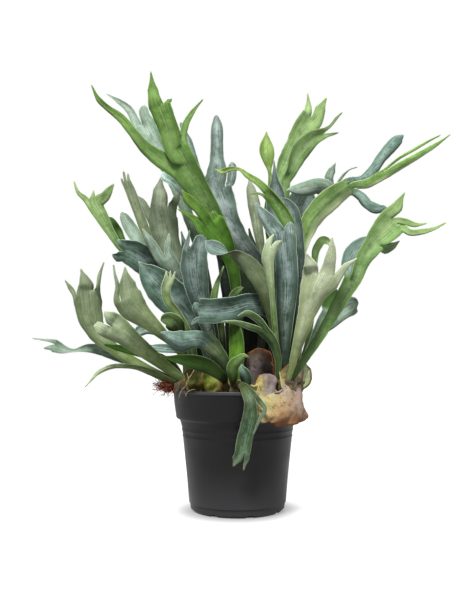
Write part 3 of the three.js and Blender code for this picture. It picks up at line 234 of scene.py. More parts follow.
FRONDS = {
    "frond_top_left": frond(BRIGHT, 1.11, "-8 172 22 4, 0 235 18 5.5, -2 294 14 6.5 5, -12 343 10 9.5 10, "
        "-33 387 4 13.5 12, -51 419 0 15.5 10, -67 444 -3 19 6",
        lobe(0.3, 11, "-100 458 -4 10.5, -121 474 -6 8, -139 496 -10 6, -155 515 -14 5.5, -169 525 -18 4, "
            "-182 537 -22 3.5, -192 557 -26 1"),
        lobe(0.7, 0, "-77 469 -6 15.5",
            lobe(0.7, 5, "-89 494 -9 13, -96 513 -12 13.5, -102 529 -14 14.5",
                lobe(0.7, 1, "-111 550 -18 7, -114 575 -22 1"),
                lobe(0.3, 0, "-88 536 -14 2, -86 539 -14 1.5")),
            lobe(0.3, 0, "-69 502 -6 4.5, -59 521 -4 3, -45 538 -2 1"))),
    "frond_top_left_pale": frond(SEA, 1.14, "-21 174 52 4, -34 261 58 5.5, -52 347 64 7, -73 406 70 8.5, "
        "-93 452 76 11.5, -110 481 80 13.5, -122 503 84 16.5",
        lobe(0.42, 3, "-143 525 88 5.5, -157 536 92 3.5, -172 545 96 1"),
        lobe(0.58, 0, "-123 523 86 7, -121 530 88 3")),
    "frond_great_blue": frond(PALE_BLUE, 0.85, "61 169 -22 5, 53 228 -14 8, 40 285 -4 10, 23 324 8 11.5 -10, "
        "3 352 17 13 -10, -12 378 22 16, -21 398 24 21, -28 415 25 23",
        lobe(0.2, 11, "-54 440 24 7.5, -61 462 26 8, -67 484 28 7, -75 508 30 2"),
        lobe(0.62, 1, "-27 441 26 13.5, -27 460 28 9.5, -27 479 30 8.5, -27 500 34 8, -28 517 38 2.5"),
        lobe(0.18, 0, "-9 429 23 5.5, -7 441 23 6, -7 451 24 5, -8 456 24 2")),
    "frond_curled_ribbon": frond(BUD, 1.1, "63 169 -44 3, 70 232 -54 4.5, 74 298 -62 5.5, 71 345 -62 7.5, "
        "65 377 -60 8.5, 50 402 -58 8 10, 40 414 -58 7.5 10",
        lobe(0.2, 1, "28 414 -56 1.5, 16 413 -54 0.8"),
        lobe(0.8, 0, "27 429 -56 4.5, 13 438 -54 3.5, 2 446 -50 2, -10 446 -48 3, -21 443 -46 3, "
            "-29 446 -44 1")),
    "frond_right_blue": frond(BLUE, 1.07, "58 166 -54 4.5, 61 211 -64 7.5, 63 256 -73 11, 65 298 -78 13.5, "
        "63 335 -80 14, 61 353 -80 15.5",
        lobe(0.55, 11, "44 373 -76 9.5, 32 389 -72 6, 24 402 -68 1.5"),
        lobe(0.45, 0, "69 369 -78 6.5, 70 377 -76 2.5")),
    "frond_right_edge": frond(BLUE, 0.79, "69 172 -40 4, 76 219 -42 6.5 -30, 80 272 -44 8 -30, "
        "80 322 -46 8 -20, 77 353 -46 10 -10, 71 377 -46 12.5, 66 394 -44 11.5, 61 404 -42 5.5, "
        "57 409 -42 1.5"),
    "frond_pale_paddle": frond(PADDLE, 0.81, "28 172 36 4, 33 261 44 5, 32 333 50 5.5, 25 377 54 7.5, "
        "21 404 56 8.5, 17 423 57 5.5, 15 435 58 1", face=-1),
    "frond_young_bud": frond(BUD, 0.92, "34 172 58 4, 40 261 74 5, 44 340 84 5.5, 42 392 92 8, 44 424 96 4.5, "
        "42 444 98 3, 40 461 100 9.5, 38 474 102 10, 38 487 104 4.5, 38 496 105 1"),
    "frond_thin_spike": frond(BLUE, 0.83, "42 172 35 4, 50 261 36 5.5, 52 329 37 8, 50 382 38 11, "
        "50 412 38 12.5, 49 435 38 4.5, 48 458 38 1"),
    "frond_top_right": frond(FRESH, 0.97, "50 172 44 5, 58 261 52 6, 59 340 60 7.5, 59 395 64 8.5, "
        "60 427 66 10",
        lobe(0.5, 4, "63 454 76 11.5, 74 475 82 13, 86 498 88 15.5, 97 512 92 17",
            lobe(0.45, -1, "93 529 96 4.5, 92 546 100 1"),
            lobe(0.55, 0, "109 525 94 8, 117 540 96 1.5")),
        lobe(0.5, 0, "71 443 58 7.5, 84 471 54 13, 101 488 48 10.5, 113 493 46 7.5",
            lobe(0.5, 0, "122 503 44 2, 130 513 43 2, 138 521 42 1"),
            lobe(0.5, 0, "125 492 44 2, 133 494 43 1"))),
    "frond_right_olive": frond(STRIPED, 1.51, "76 172 -28 4.5, 80 224 -24 6, 80 277 -20 7, 79 324 -16 8, "
        "86 353 -14 9.5, 97 379 -14 12.5, 111 396 -14 14 -10, 128 411 -16 14 -10, 142 421 -18 11",
        lobe(0.4, 4, "163 433 -12 5, 178 445 -6 6.5, 189 461 0 7, 202 476 6 8, 212 486 10 6.5, "
            "218 491 12 2", tint=1),
        lobe(0.35, 5, "170 427 -22 6, 192 439 -28 6.5",
            lobe(0.25, 0, "213 461 -34 2, 234 473 -38 2, 253 484 -42 1.5, 267 491 -44 1"),
            lobe(0.75, 0, "213 450 -34 5, 239 465 -40 4, 262 479 -46 2.5, 280 492 -50 0.8")),
        lobe(0.25, 0, "161 411 -22 6, 171 400 -26 6.5, 183 394 -30 6.5, 196 396 -34 2.5", tint=1), face=-1),
    "frond_right_fold": frond(SEA, 1.07, "71 174 -2 4.5, 76 241 8 6.5, 80 307 16 7.5, 84 350 22 8.5, "
        "96 382 24 9.5, 116 404 20 12",
        lobe(0.66, 0, "116 419 14 11.5, 105 424 8 10.5, 94 421 4 10.5, 80 419 2 8, 71 419 0 4.5, "
            "64 418 -2 1"),
        lobe(0.34, 0, "125 420 17 6",
            lobe(0.66, 0, "120 435 13 6, 124 445 12 5, 129 455 10 1"),
            lobe(0.34, 0, "138 437 9 2, 148 446 4 1, 158 449 2 1")), face=-1),
    "frond_right_antler": frond(FRESH, 1.26, "71 169 -54 3, 86 193 -58 4.5, 109 228 -68 6, 130 265 -78 8, "
        "150 299 -88 10",
        lobe(0.35, 0, "145 320 -84 8.5, 153 339 -82 9.5, 166 352 -84 6, 176 360 -86 1", tint=1),
        lobe(0.65, 0, "166 329 -96 9.5, 180 349 -100 12.5",
            lobe(0.8, 1, "193 365 -104 16, 204 377 -106 17.5",
                lobe(0.42, 1, "209 396 -109 7, 214 406 -111 3.5, 220 416 -113 1"),
                lobe(0.26, 1, "220 377 -110 4, 233 373 -113 3, 249 375 -116 1"),
                lobe(0.32, 0, "226 363 -112 4, 242 364 -115 3.5, 258 368 -118 2, 274 376 -121 1")),
            lobe(0.2, 0, "193 341 -97 5.5, 205 346 -99 4, 213 352 -100 1", tint=0.4))),
    "frond_right_white": frond(PALE, 1.26, "66 166 -60 2.5, 74 198 -68 5, 84 232 -78 8.5, 94 266 -88 12.5, "
        "101 287 -94 18, 108 301 -97 23",
        lobe(0.4, 3, "96 318 -101 8.5, 93 328 -103 4.5, 90 337 -105 1"),
        lobe(0.38, 12, "122 329 -106 7, 124 344 -108 4, 124 358 -110 0.8"),
        lobe(0.22, 0, "143 319 -104 4, 157 329 -106 1"), face=-1),
    "frond_right_round": frond(SEA, 0.96, "76 170 -38 3, 95 209 -40 5, 109 235 -42 9, 122 252 -44 14",
        lobe(0.5, 3, "121 270 -40 9.5, 126 282 -38 7, 129 290 -37 3", tint=-1),
        lobe(0.5, 0, "140 262 -47 12, 149 267 -47 12, 155 270 -46 7.5, 159 270 -46 2.5")),
    "frond_right_young": frond(SPROUT, 1.11, "53 169 -60 2.5, 52 206 -72 3, 48 252 -86 3.5, 45 287 -94 3.5, "
        "42 311 -97 5.5, 40 329 -100 7.5, 44 344 -100 8.5",
        lobe(0.5, 0, "43 353 -100 3.5, 48 361 -100 1"),
        lobe(0.5, 0, "53 349 -99 3.5, 58 352 -98 1"), face=-1),
    "frond_middle_arch": frond(OLIVE, 0.62, "53 174 -46 4, 52 224 -54 6, 45 264 -66 10, 32 297 -72 11, "
        "15 320 -72 10.5, -1 331 -74 8.5 20, -13 335 -75 9 90, -22 339 -75 8.5 150, -31 343 -73 9 180, "
        "-38 348 -71 6 180, -43 352 -70 1 180", face=-1),
    "frond_cross_blade": frond(SLATE, 1.18, "57 169 -38 4, 61 215 -38 6.5, 55 245 -44 10, 40 265 -48 12.5, "
        "16 269 -56 13, -10 262 -67 14.5, -34 260 -76 15, -50 260 -80 15",
        lobe(0.3, 0, "-56 246 -82 3, -61 241 -82 1"),
        lobe(0.7, 0, "-54 266 -81 6, -56 271 -81 2.5")),
    "frond_cross_stem": frond(FOLD, 1.23, "52 164 -60 2.5, 53 198 -72 4.5, 46 220 -80 6, 34 235 -86 7",
        lobe(0.5, 0, "16 239 -90 4, -4 245 -92 2.5, -21 246 -92 1"),
        lobe(0.5, 0, "24 251 -90 4.5, 12 257 -92 3.5, 0 253 -92 1"), face=-1),
    "frond_centre_bright": frond(DEEP, 1.34, "0 169 2 4.5, 2 235 -6 6, -2 290 -14 7, -9 327 -20 9, "
        "-21 354 -26 14, -33 371 -28 19",
        lobe(0.3, 3, "-55 379 -32 5, -67 387 -34 2.5, -79 394 -36 1"),
        lobe(0.35, 5, "-49 392 -35 6.5, -61 403 -36 6.5, -69 412 -38 4, -73 419 -40 1"),
        lobe(0.35, 0, "-27 382 -27 5, -33 391 -28 2.5")),
    "frond_left_grey": frond(GREY, 1.08, "-42 172 30 4, -54 241 34 7, -71 294 38 11, -86 332 40 15, "
        "-94 358 42 18, -98 379 42 21",
        lobe(0.15, 16, "-123 398 44 6, -129 406 46 5, -135 412 48 1.5"),
        lobe(0.6, 18, "-102 406 46 11.5, -102 420 48 8.5, -100 437 50 1.5"),
        lobe(0.25, 0, "-83 400 44 5.5, -80 408 46 5, -75 417 48 1.5"), face=-1),
    "frond_under_top_left": frond(BLUE, 2.7, "-13 169 44 4, -10 235 36 6, -15 294 34 7.5, -21 327 33 6, "
        "-29 356 32 5.5, -40 375 31 6, -54 396 30 6, -69 415 28 7, -86 431 26 6.5, -97 438 26 5.5, "
        "-101 442 26 2"),
    "frond_left_twist": frond(OLIVE, 0.9, "-47 177 20 3.5, -67 248 14 4, -90 298 8 4.5, -109 332 4 5.5, "
        "-121 364 2 6.5, -131 392 0 6.5, -140 416 -2 6.5, -146 429 -4 6",
        lobe(0.3, 0, "-153 435 -6 1.5"),
        lobe(0.35, 0, "-150 444 -6 1.5"),
        lobe(0.35, 0, "-144 441 -4 1.5")),
    "frond_left_small_blue": frond(SEA, 1.09, "-34 172 46 3.5, -63 255 50 4, -92 298 50 5.5, -114 328 50 7, "
        "-131 353 50 8.5, -142 371 52 9, -150 385 54 5.5, -153 390 56 2"),
    "frond_left_bright": frond(FRESH, 1.13, "-52 172 16 3.5, -75 237 14 4, -105 287 8 5.5, -131 319 -4 6, "
        "-150 343 -16 7",
        lobe(0.62, 0, "-168 365 -22 6, -178 383 -26 8.5, -185 395 -28 9.5",
            lobe(0.3, 8, "-199 406 -30 4, -209 415 -32 2.5, -215 431 -34 1"),
            lobe(0.3, 8, "-190 407 -30 4.5, -189 419 -30 1"),
            lobe(0.4, 0, "-174 410 -32 6.5, -168 419 -34 4.5, -162 427 -36 1.5")),
        lobe(0.38, 0, "-157 366 -11 5, -169 378 -8 6.5, -178 386 -6 1.5", tint=-1)),
    "frond_left_dark": frond(SLATE, 1.49, "-33 177 10 4, -47 232 8 8, -71 266 2 13, -96 297 -8 17, "
        "-117 322 -20 18.5, -136 335 -30 17, -147 339 -32 14.5",
        lobe(0.45, 0, "-158 331 -34 6.5, -165 334 -36 2"),
        lobe(0.55, 0, "-153 349 -34 5.5, -157 354 -34 1.5")),
    "frond_left_wide": frond(SLATE, 1.63, "-33 170 -16 4.5, -44 222 -22 9, -61 251 -28 15.5, -80 272 -33 21.5, "
        "-98 289 -37 21.5, -111 303 -40 17, -121 314 -41 10, -130 325 -42 1.5"),
    "frond_left_tongue": frond(SEA, 0.97, "-39 177 -2 4, -52 241 -8 6.5, -67 285 -16 9, -80 307 -25 11.5, "
        "-91 324 -31 12",
        lobe(0.5, 5, "-109 341 -34 6.5, -118 356 -36 4.5, -125 368 -37 1"),
        lobe(0.5, 0, "-91 341 -32 5.5, -90 352 -32 4, -90 362 -32 1"), face=-1),
    "frond_left_upright": frond(BLUE, 0.88, "-27 172 -26 4, -37 230 -38 7.5, -47 264 -46 11.5, -54 294 -51 15, "
        "-57 320 -53 17, -56 337 -53 16",
        lobe(0.25, 0, "-65 353 -53 2.5, -63 366 -54 1"),
        lobe(0.75, 0, "-49 349 -52 8.5, -47 360 -51 6")),
    "frond_small_crest": frond(CREST, 1.1, "-59 168 -42 4, -60 209 -54 6, -71 231 -56 10",
        lobe(0.62, 0, "-84 244 -66 11, -94 249 -68 8, -101 247 -68 2.5"),
        lobe(0.38, 0, "-80 258 -53 5, -91 272 -56 5.5, -94 289 -57 6, -89 304 -57 6.5",
            lobe(0.34, 0, "-94 312 -57 1"),
            lobe(0.33, 0, "-88 313 -57 1"),
            lobe(0.33, 0, "-82 312 -57 1"))),
    "frond_folded_pale": frond(PLEAT, 1.16, "-12 168 -50 3.5, -19 195 -60 7.5, -34 214 -64 11",
        lobe(0.8, 0, "-48 222 -68 10.5, -61 222 -73 11, -75 220 -80 13.5, -86 224 -84 9.5, -96 230 -86 4, "
            "-101 232 -88 1", tint=1),
        lobe(0.2, 0, "-35 229 -64 3, -33 235 -64 1"), face=-1),
    "frond_left_inner": frond(BLUE, 1.86, "-40 169 -20 3, -59 203 -16 5",
        lobe(0.5, 0, "-79 209 -22 5, -96 211 -24 6, -109 212 -24 4.5, -118 215 -24 1.5", tint=0),
        lobe(0.5, 0, "-83 222 -18 5, -102 231 -20 5, -119 237 -22 7.5, -131 233 -22 6.5, "
            "-140 231 -22 1.5")),
    "frond_centre_young": frond(SHOOT, 0.94, "-18 169 -38 3, -19 215 -44 4, -23 251 -50 5",
        lobe(0.5, 0, "-31 274 -54 4.5, -27 295 -54 3.5, -18 319 -52 1"),
        lobe(0.5, 0, "-10 270 -54 3.5, -5 282 -56 4.5, 3 289 -58 3, 8 291 -58 1")),
    "frond_right_curl": frond(FRESH, 2.03, "76 169 -12 2.5, 94 228 -6 3.5, 99 281 2 4, 101 322 8 4, "
        "105 344 10 5.5, 113 353 10 5.5, 121 349 10 3.5, 122 341 10 1.5"),
    "frond_left_tall": frond(OLIVE, 1.06, "-76 164 -22 4, -102 176 -22 5, -131 190 -20 6.5, -161 209 -18 7.5, "
        "-184 231 -20 12, -194 255 -24 16.5, -196 270 -27 18",
        lobe(0.12, 11, "-215 283 -30 3.5, -220 291 -31 3, -227 301 -32 1"),
        lobe(0.63, 16, "-199 293 -32 9.5, -202 304 -34 5.5, -206 316 -36 1"),
        lobe(0.25, 0, "-183 290 -32 3.5, -181 307 -34 2.5, -175 325 -36 1"), face=-1),
    "frond_left_rolled": frond(OLIVE, 1.42, "-68 169 -38 4, -88 182 -46 6.5, -109 198 -55 8.5, -131 215 -64 11, "
        "-151 231 -72 14.5, -163 239 -76 17",
        lobe(0.45, 0, "-178 236 -80 7.5, -185 240 -80 5.5, -189 240 -80 3"),
        lobe(0.55, 0, "-166 251 -80 8.5, -172 256 -82 4, -176 260 -82 1"), face=-1),
    "frond_left_leaf": frond(OLIVE, 1.32, "-67 170 -32 4, -69 195 -44 4.5, -84 216 -60 5, -101 232 -74 7.5, "
        "-120 249 -86 11.5, -135 262 -93 16.5, -144 276 -98 18",
        lobe(0.27, 1, "-158 295 -104 2.5, -161 308 -108 1.5, -163 322 -111 1"),
        lobe(0.73, 0, "-145 295 -101 10, -147 307 -104 4.5, -148 319 -106 1"), face=-1),
    "frond_left_low": frond(SEA, 1.15, "-77 159 -12 3, -109 177 -6 4.5, -142 193 0 6, -171 206 4 7.5, "
        "-197 211 6 5.5, -217 208 6 2.5, -230 210 4 6.5, -240 214 2 9",
        lobe(0.6, 0, "-255 211 2 1.5"),
        lobe(0.4, 0, "-255 222 2 1.5, -270 224 2 1")),
    "frond_left_droop": frond(OLIVE, 1.28, "-76 164 -32 2.5, -113 180 -38 3, -142 187 -44 3, -168 186 -50 3, "
        "-184 178 -54 2.5, -193 168 -58 1.5, -201 159 -60 0.8", face=-1),
    "frond_left_narrow": frond(DARK, 1.76, "-71 169 -26 4, -89 190 -31 6.5, -115 202 -36 6.5, -142 208 -40 5, "
        "-159 212 -42 4, -176 216 -44 1.5"),
    "frond_low_dark": frond(DARK, 1.16, "-16 164 -50 3, -21 174 -76 6, -37 186 -80 9, -59 193 -84 8.5, "
        "-80 197 -86 5, -102 200 -88 1"),
    "frond_centre_strip": frond(BLADE, 1.12, "0 166 -54 4.5, -1 188 -58 8.5, -1 209 -60 9.5, -2 228 -58 8.5, "
        "-5 241 -54 6, -8 251 -50 2"),
    "frond_centre_curl": frond(CURL, 1.35, "-6 163 -58 3.5, -6 174 -79 6, -6 188 -86 7, 2 196 -89 5.5, "
        "9 201 -90 3, 15 199 -90 1", face=-1),
    "frond_centre_short": frond(TEAL, 1.55, "11 159 -62 5, 11 173 -66 7, 7 182 -70 6, 3 191 -70 2"),
    "frond_hanging": frond(HUNG, 0.97, "-1 165 -56 3, 4 163 -80 4, 11 157 -94 6.5, 17 147 -101 8.5",
        lobe(0.25, 0, "30 140 -101 3, 36 132 -104 2.5, 29 117 -107 2, 20 96 -108 1"),
        lobe(0.75, 0, "17 127 -101 8.5, 13 106 -99 9, 9 89 -96 9.5, 7 75 -94 9",
            lobe(0.35, 0, "12 65 -92 3, 9 57 -90 1.5, 8 50 -90 0.8"),
            lobe(0.65, 0, "-1 65 -92 5.5, -6 55 -90 1"))),
    "frond_back_left": frond(SLATE, 0.99, "-21 172 62 4, -33 214 92 5.5, -47 256 124 9 10, -60 293 152 12.5 15, "
        "-68 319 174 15 20",
        lobe(0.5, 5, "-81 337 188 8.5 20, -88 350 198 1.5 20"),
        lobe(0.5, 0, "-68 341 190 8.5 20, -74 365 202 1.5 20")),
    "frond_back_middle": frond(SHADED, 1, "7 169 62 4, 15 214 96 16, 17 251 120 20.5, 16 282 138 18.5, "
        "12 303 146 15",
        lobe(0.5, 3, "4 318 150 7.5, 2 329 152 1.5"),
        lobe(0.5, 0, "19 322 152 7.5, 19 345 158 7, 15 369 162 1.5")),
    "frond_back_right": frond(BLUE, 1.35, "27 172 62 4, 37 215 92 7.5 -10, 45 261 112 12 -10, "
        "53 306 122 15 -10, 62 347 124 18 -10, 74 378 122 22, 83 396 120 23.5, 90 411 119 17.5, "
        "94 419 118 7.5"),
    "frond_back_low": frond(SHADED, 1, "3 168 66 4, -2 193 100 10, -6 215 138 15, -6 232 164 15.5, "
        "-2 241 186 9.5, 2 245 200 1.5"),
}

SHIELDS = {
    "shield_front": blade("77 111 -73 27 -40, 77 122 -76 29.5 -40, 71 135 -78 37 -40, 61 147 -78 42.5 -40, "
        "53 157 -76 42.5 -38",
        lobe(0.58, -1, "36 167 -82 20 -32, 29 176 -82 12.5 -26"),
        lobe(0.42, 0, "81 174 -46 13 -40, 84 185 -41 11 -50, 86 195 -39 7.5 -60"), cup=-0.3),
    "shield_back": blade("36 159 -56 15, 30 177 -50 17.5, 27 193 -46 19.5, 28 206 -42 16.5, "
        "27 212 -40 7.5", face=-1),
    "shield_lime": blade("76 159 -38 4, 84 164 -36 7, 88 173 -33 8.5, 89 184 -33 5.5, 89 191 -33 1.5"),
    "shield_left": blade("-56 151 -44 10, -56 168 -52 12.5, -56 181 -54 11, -56 188 -54 5"),
    "shield_centre": blade("-29 151 -54 10.5, -34 166 -60 10.5, -38 177 -60 10, -40 184 -58 5"),
}


# Blade geometry


def sighted(station):
    """A station's point in space: it lines up with (across, up) from the standpoint, back behind the pot's axis."""
    across, up, back, half, *roll = station
    scale = (STAND_OFF + back) / STAND_OFF
    return [across * scale, back, EYE_LEVEL + (up - EYE_LEVEL) * scale, half, *(roll or [0])]


def unit(vector):
    return vector / max(1e-9, np.linalg.norm(vector))


def smooth_rows(stations, start_tangent, tapers):
    """Rows along a curve through the stations. A lobe narrows at once after its fork, and its tip is drawn out."""
    stations = np.array(stations, float)
    gaps = np.maximum(0.5, np.linalg.norm(np.diff(stations[:, :3], axis=0), axis=1))
    rises = np.diff(stations, axis=0) / gaps[:, None]
    slopes = np.empty_like(stations)
    slopes[0] = rises[0]
    slopes[-1] = rises[-1]
    if start_tangent is not None:
        slopes[0, :3] = start_tangent
    for i in range(1, len(gaps)):
        slopes[i] = (rises[i - 1] * gaps[i] + rises[i] * gaps[i - 1]) / (gaps[i - 1] + gaps[i])
    rows = [stations[0]]
    for i, gap in enumerate(gaps):
        steps = max(1, round(gap / ROW_STEP))
        for j in range(1, steps + 1):
            s = j / steps
            row = (stations[i] * (2 * s**3 - 3 * s**2 + 1) + stations[i + 1] * (3 * s**2 - 2 * s**3)
                   + slopes[i] * gap * (s**3 - 2 * s**2 + s) + slopes[i + 1] * gap * (s**3 - s**2))
            hollow = (i == 0 and start_tangent is not None) or (tapers and i == len(gaps) - 1)
            if hollow and stations[i + 1, 3] < stations[i, 3]:
                eased = stations[i, 3] + (stations[i + 1, 3] - stations[i, 3]) * (1 - (1 - s) ** HOLLOW)
                row[3] = min(row[3], eased)
            row[3] = max(row[3], NARROWEST)
            rows.append(row)
    return np.array(rows)


def row_frames(rows, start_tangent):
    """At roll 0 the width of a row lies square to both the rib and the line of sight."""
    points = rows[:, :3]
    frames = []
    for i, point in enumerate(points):
        ahead = points[min(i + 1, len(points) - 1)]
        behind = points[max(i - 1, 0)]
        tangent = start_tangent if i == 0 and start_tangent is not None else unit(ahead - behind)
        sight = unit(point - np.array([0, -STAND_OFF, EYE_LEVEL]))
        side = unit(np.cross(sight, tangent))
        front = np.cross(side, tangent)
        roll = math.radians(rows[i, 4])
        width = side * math.cos(roll) + front * math.sin(roll)
        normal = front * math.cos(roll) - side * math.sin(roll)
        frames.append({"point": point, "tangent": tangent, "width": width, "normal": normal,
                       "half": rows[i, 3], "roll": rows[i, 4]})
    return frames


def tip_count(part):
    return sum(map(tip_count, part["lobes"])) or 1


def column_fractions(part, columns):
    """Fractions of the width at which columns run, so that each lobe takes whole columns."""
    if not part["lobes"]:
        return [i / columns for i in range(columns + 1)]
    fractions = [0.0]
    start = 0.0
    for lobe in part["lobes"]:
        fractions += [start + f * lobe["share"] for f in column_fractions(lobe, columns)[1:]]
        start += lobe["share"]
    return fractions


def notch_reach(part, fraction):
    """How far the end row of a forked part is pushed on towards the notches between its lobes."""
    start = 0.0
    reach = 0.0
    for lobe in part["lobes"]:
        if fraction <= start + lobe["share"] + 1e-6:
            return reach + (lobe["sinus"] - reach) * (fraction - start) / lobe["share"]
        start += lobe["share"]
        reach = lobe["sinus"]
    return 0.0


def widest(part):
    return max([station[3] for station in part["rib"]] + [widest(lobe) for lobe in part["lobes"]])


class Sheet:
    """A blade without thickness: points with what the material reads of them, and quads between its rows."""

    def __init__(self, blade, seed, wave, swell, ragged):
        self.points = []
        self.marks = []
        self.quads = []
        self.cup = blade["face"] * blade["cup"]
        tips = tip_count(blade)
        fewest = FEWEST_COLUMNS_OF_LOBES if tips > 2 else FEWEST_COLUMNS
        self.columns = max(fewest, round(2 * widest(blade) / COLUMN_WIDTH / tips))
        self.columns += self.columns % 2
        self.phase = random.Random(seed).uniform(0, 100)
        self.wave = wave
        self.swell = swell
        self.ragged = ragged
        self.scale = 2 * widest(blade)
        self.reach = 1.0
        self.grow(blade, [sighted(s) for s in blade["rib"]], None, None, 0.0, (0.0, 1.0), 0.0)

    def margin(self, travel, side):
        """A slow uneven swing of the margins, in shares of the half width."""
        return self.ragged * noise.noise(Vector((travel / RAGGED_LENGTH, side * RAGGED_APART, self.phase)))

    def place(self, frame, q, travel):
        """The point at q, from -1 at one margin to 1 at the other, of the row in frame."""
        half = frame["half"] * (1 + self.margin(travel, 1 if q > 0 else -1) * abs(q))
        full = min(1.0, half / FULL_RELIEF)
        swing = math.sin(travel / (WAVE_LENGTH + 3 * self.cup) + self.phase + (WAVE_APART if q > 0 else 0))
        swell = noise.noise(Vector((travel / SWELL_LENGTH, q * half / SWELL_WIDTH, self.phase + 9)))
        lift = self.cup * half * q * q + full * (self.wave * swing * abs(q) ** 3 + self.swell * swell)
        rise = RIB_HEIGHT * half * math.exp(-(q / RIB_WIDTH) ** 2) * (1 if self.cup > 0 else -1)
        return frame["point"] + frame["width"] * q * half + frame["normal"] * (lift - rise)

    def grow(self, part, stations, start_row, start_tangent, travelled, span, tint):
        """Adds the rows of a blade or lobe, which spans part of the width, and then its lobes."""
        fractions = column_fractions(part, self.columns)
        tapers = not part["lobes"] and stations[-1][3] < SHARP_TIP
        frames = row_frames(smooth_rows(stations, start_tangent, tapers), start_tangent)
        steps = [np.linalg.norm(b["point"] - a["point"]) for a, b in zip(frames, frames[1:])]
        length = sum(steps)
        offsets, fade_length, power = None, 1, 2
        if start_row:
            offsets = [self.points[index] - self.place(frames[0], 2 * f - 1, travelled)
                       for index, f in zip(start_row, fractions)]
            jump = max(np.linalg.norm(offset) for offset in offsets)
            fade_length = min(max(FADE_LENGTH, FADE_STRETCH * jump), length)
            power = 1 if fade_length < FADE_STRETCH * jump else 2
        push = max([lobe["sinus"] for lobe in part["lobes"]] + [0])
        push_length = min(length * 0.9, max(PUSH_LENGTH, PUSH_STRETCH * push))
        end_half = frames[-1]["half"]
        previous = start_row
        run = 0.0
        for r, frame in enumerate(frames):
            if r > 0:
                run += steps[r - 1]
            elif start_row:
                continue
            fade = max(0.0, 1 - run / fade_length) ** power if offsets else 0.0
            left = length - run
            row_frame = frame
            if not part["lobes"] and left < end_half:
                rounded = math.sqrt(max(0.02, 1 - (1 - left / end_half) ** 2))
                row_frame = {**frame, "half": max(NARROWEST_TIP, frame["half"] * rounded)}
            row = []
            for i, f in enumerate(fractions):
                q = 2 * f - 1
                point = self.place(row_frame, q, travelled + run)
                if offsets:
                    point = point + offsets[i] * fade
                if part["lobes"]:
                    pushed = max(0.0, 1 - left / push_length) ** 2
                    point = point + frame["tangent"] * notch_reach(part, f) * pushed
                across = span[0] + (span[1] - span[0]) * f
                self.points.append(point)
                self.marks.append((travelled + run, across * self.scale, row_frame["half"] * (1 - abs(q)), q,
                                   tint * min(1.0, run / TINT_LENGTH)))
                row.append(len(self.points) - 1)
            for i in range(len(row) - 1 if previous else 0):
                self.quads.append((previous[i], previous[i + 1], row[i + 1], row[i]))
            previous = row
        self.reach = max(self.reach, travelled + length)
        start = 0
        share_start = 0.0
        for lobe in part["lobes"]:
            count = tip_count(lobe) * self.columns + 1
            cut = previous[start:start + count]
            start += count - 1
            left_point, right_point = self.points[cut[0]], self.points[cut[-1]]
            half = np.linalg.norm(right_point - left_point) / 2
            first = [*((left_point + right_point) / 2), half, frames[-1]["roll"]]
            share_end = share_start + lobe["share"]
            lobe_span = [span[0] + (span[1] - span[0]) * share for share in (share_start, share_end)]
            share_start = share_end
            self.grow(lobe, [first] + [sighted(s) for s in lobe["rib"]], cut,
                      frames[-1]["tangent"], travelled + run, lobe_span,
                      tint if lobe["tint"] is None else lobe["tint"])


def sheet_normals(points, quads):
    normals = np.zeros_like(points)
    corners = points[quads]
    face = np.cross(corners[:, 2] - corners[:, 0], corners[:, 3] - corners[:, 1])
    for k in range(4):
        np.add.at(normals, quads[:, k], face)
    return normals / np.maximum(1e-9, np.linalg.norm(normals, axis=1))[:, None]


def rim_edges(quads):
    """The sheet's border, as pairs of points in the winding of the quad that each belongs to."""
    rim = {}
    for quad in quads:
        for a, b in zip(quad, (*quad[1:], quad[0])):
            if (b, a) in rim:
                del rim[(b, a)]
            else:
                rim[(a, b)] = True
    return list(rim)


def make_mesh(name, points, faces, marks=None):
    """A mesh object from points in millimetres. marks holds a list of numbers for each vertex attribute."""
    mesh = bpy.data.meshes.new(name)
    mesh.from_pydata((np.asarray(points) * MM).tolist(), [], [list(map(int, f)) for f in faces])
    mesh.update()
    for key, values in (marks or {}).items():
        attribute = mesh.attributes.new(key, "FLOAT", "POINT")
        attribute.data.foreach_set("value", np.asarray(values, np.float32))
    mesh.shade_smooth()
    piece = bpy.data.objects.new(name, mesh)
    bpy.context.scene.collection.objects.link(piece)
    return piece


def thick_blade(name, sheet, thickness, face, wrinkle):
    """Both faces of a sheet with the same quads, thinner towards the margin, and a wall round it."""
    points = np.array(sheet.points)
    quads = np.array(sheet.quads)
    marks = np.array(sheet.marks)
    normals = sheet_normals(points, quads)
    if wrinkle:
        lift = [wrinkle * noise.turbulence(Vector(p) / WRINKLE_LENGTH, 3, False) for p in points]
        points = points + normals * (np.array(lift)[:, None] - wrinkle * 0.6)
        normals = sheet_normals(points, quads)
    depth = EDGE_THICKNESS + (thickness - EDGE_THICKNESS) * np.clip(marks[:, 2] / EDGE_TAPER, 0, 1) ** 0.5
    offset = normals * depth[:, None] / 2
    count = len(points)
    faces = [tuple(q) for q in quads] + [tuple(q[::-1] + count) for q in quads]
    faces += [(a, a + count, b + count, b) for a, b in rim_edges([tuple(q) for q in sheet.quads])]
    both = np.concatenate([points + offset, points - offset])
    upper = np.concatenate([np.full(count, float(face > 0)), np.full(count, float(face < 0))])
    values = {key: np.tile(column, 2) for key, column in zip(("along", "across", "edge", "side", "tint"), marks.T)}
    return make_mesh(name, both, faces, {**values, "reach": values["along"] / sheet.reach, "under": 1 - upper})


# Materials


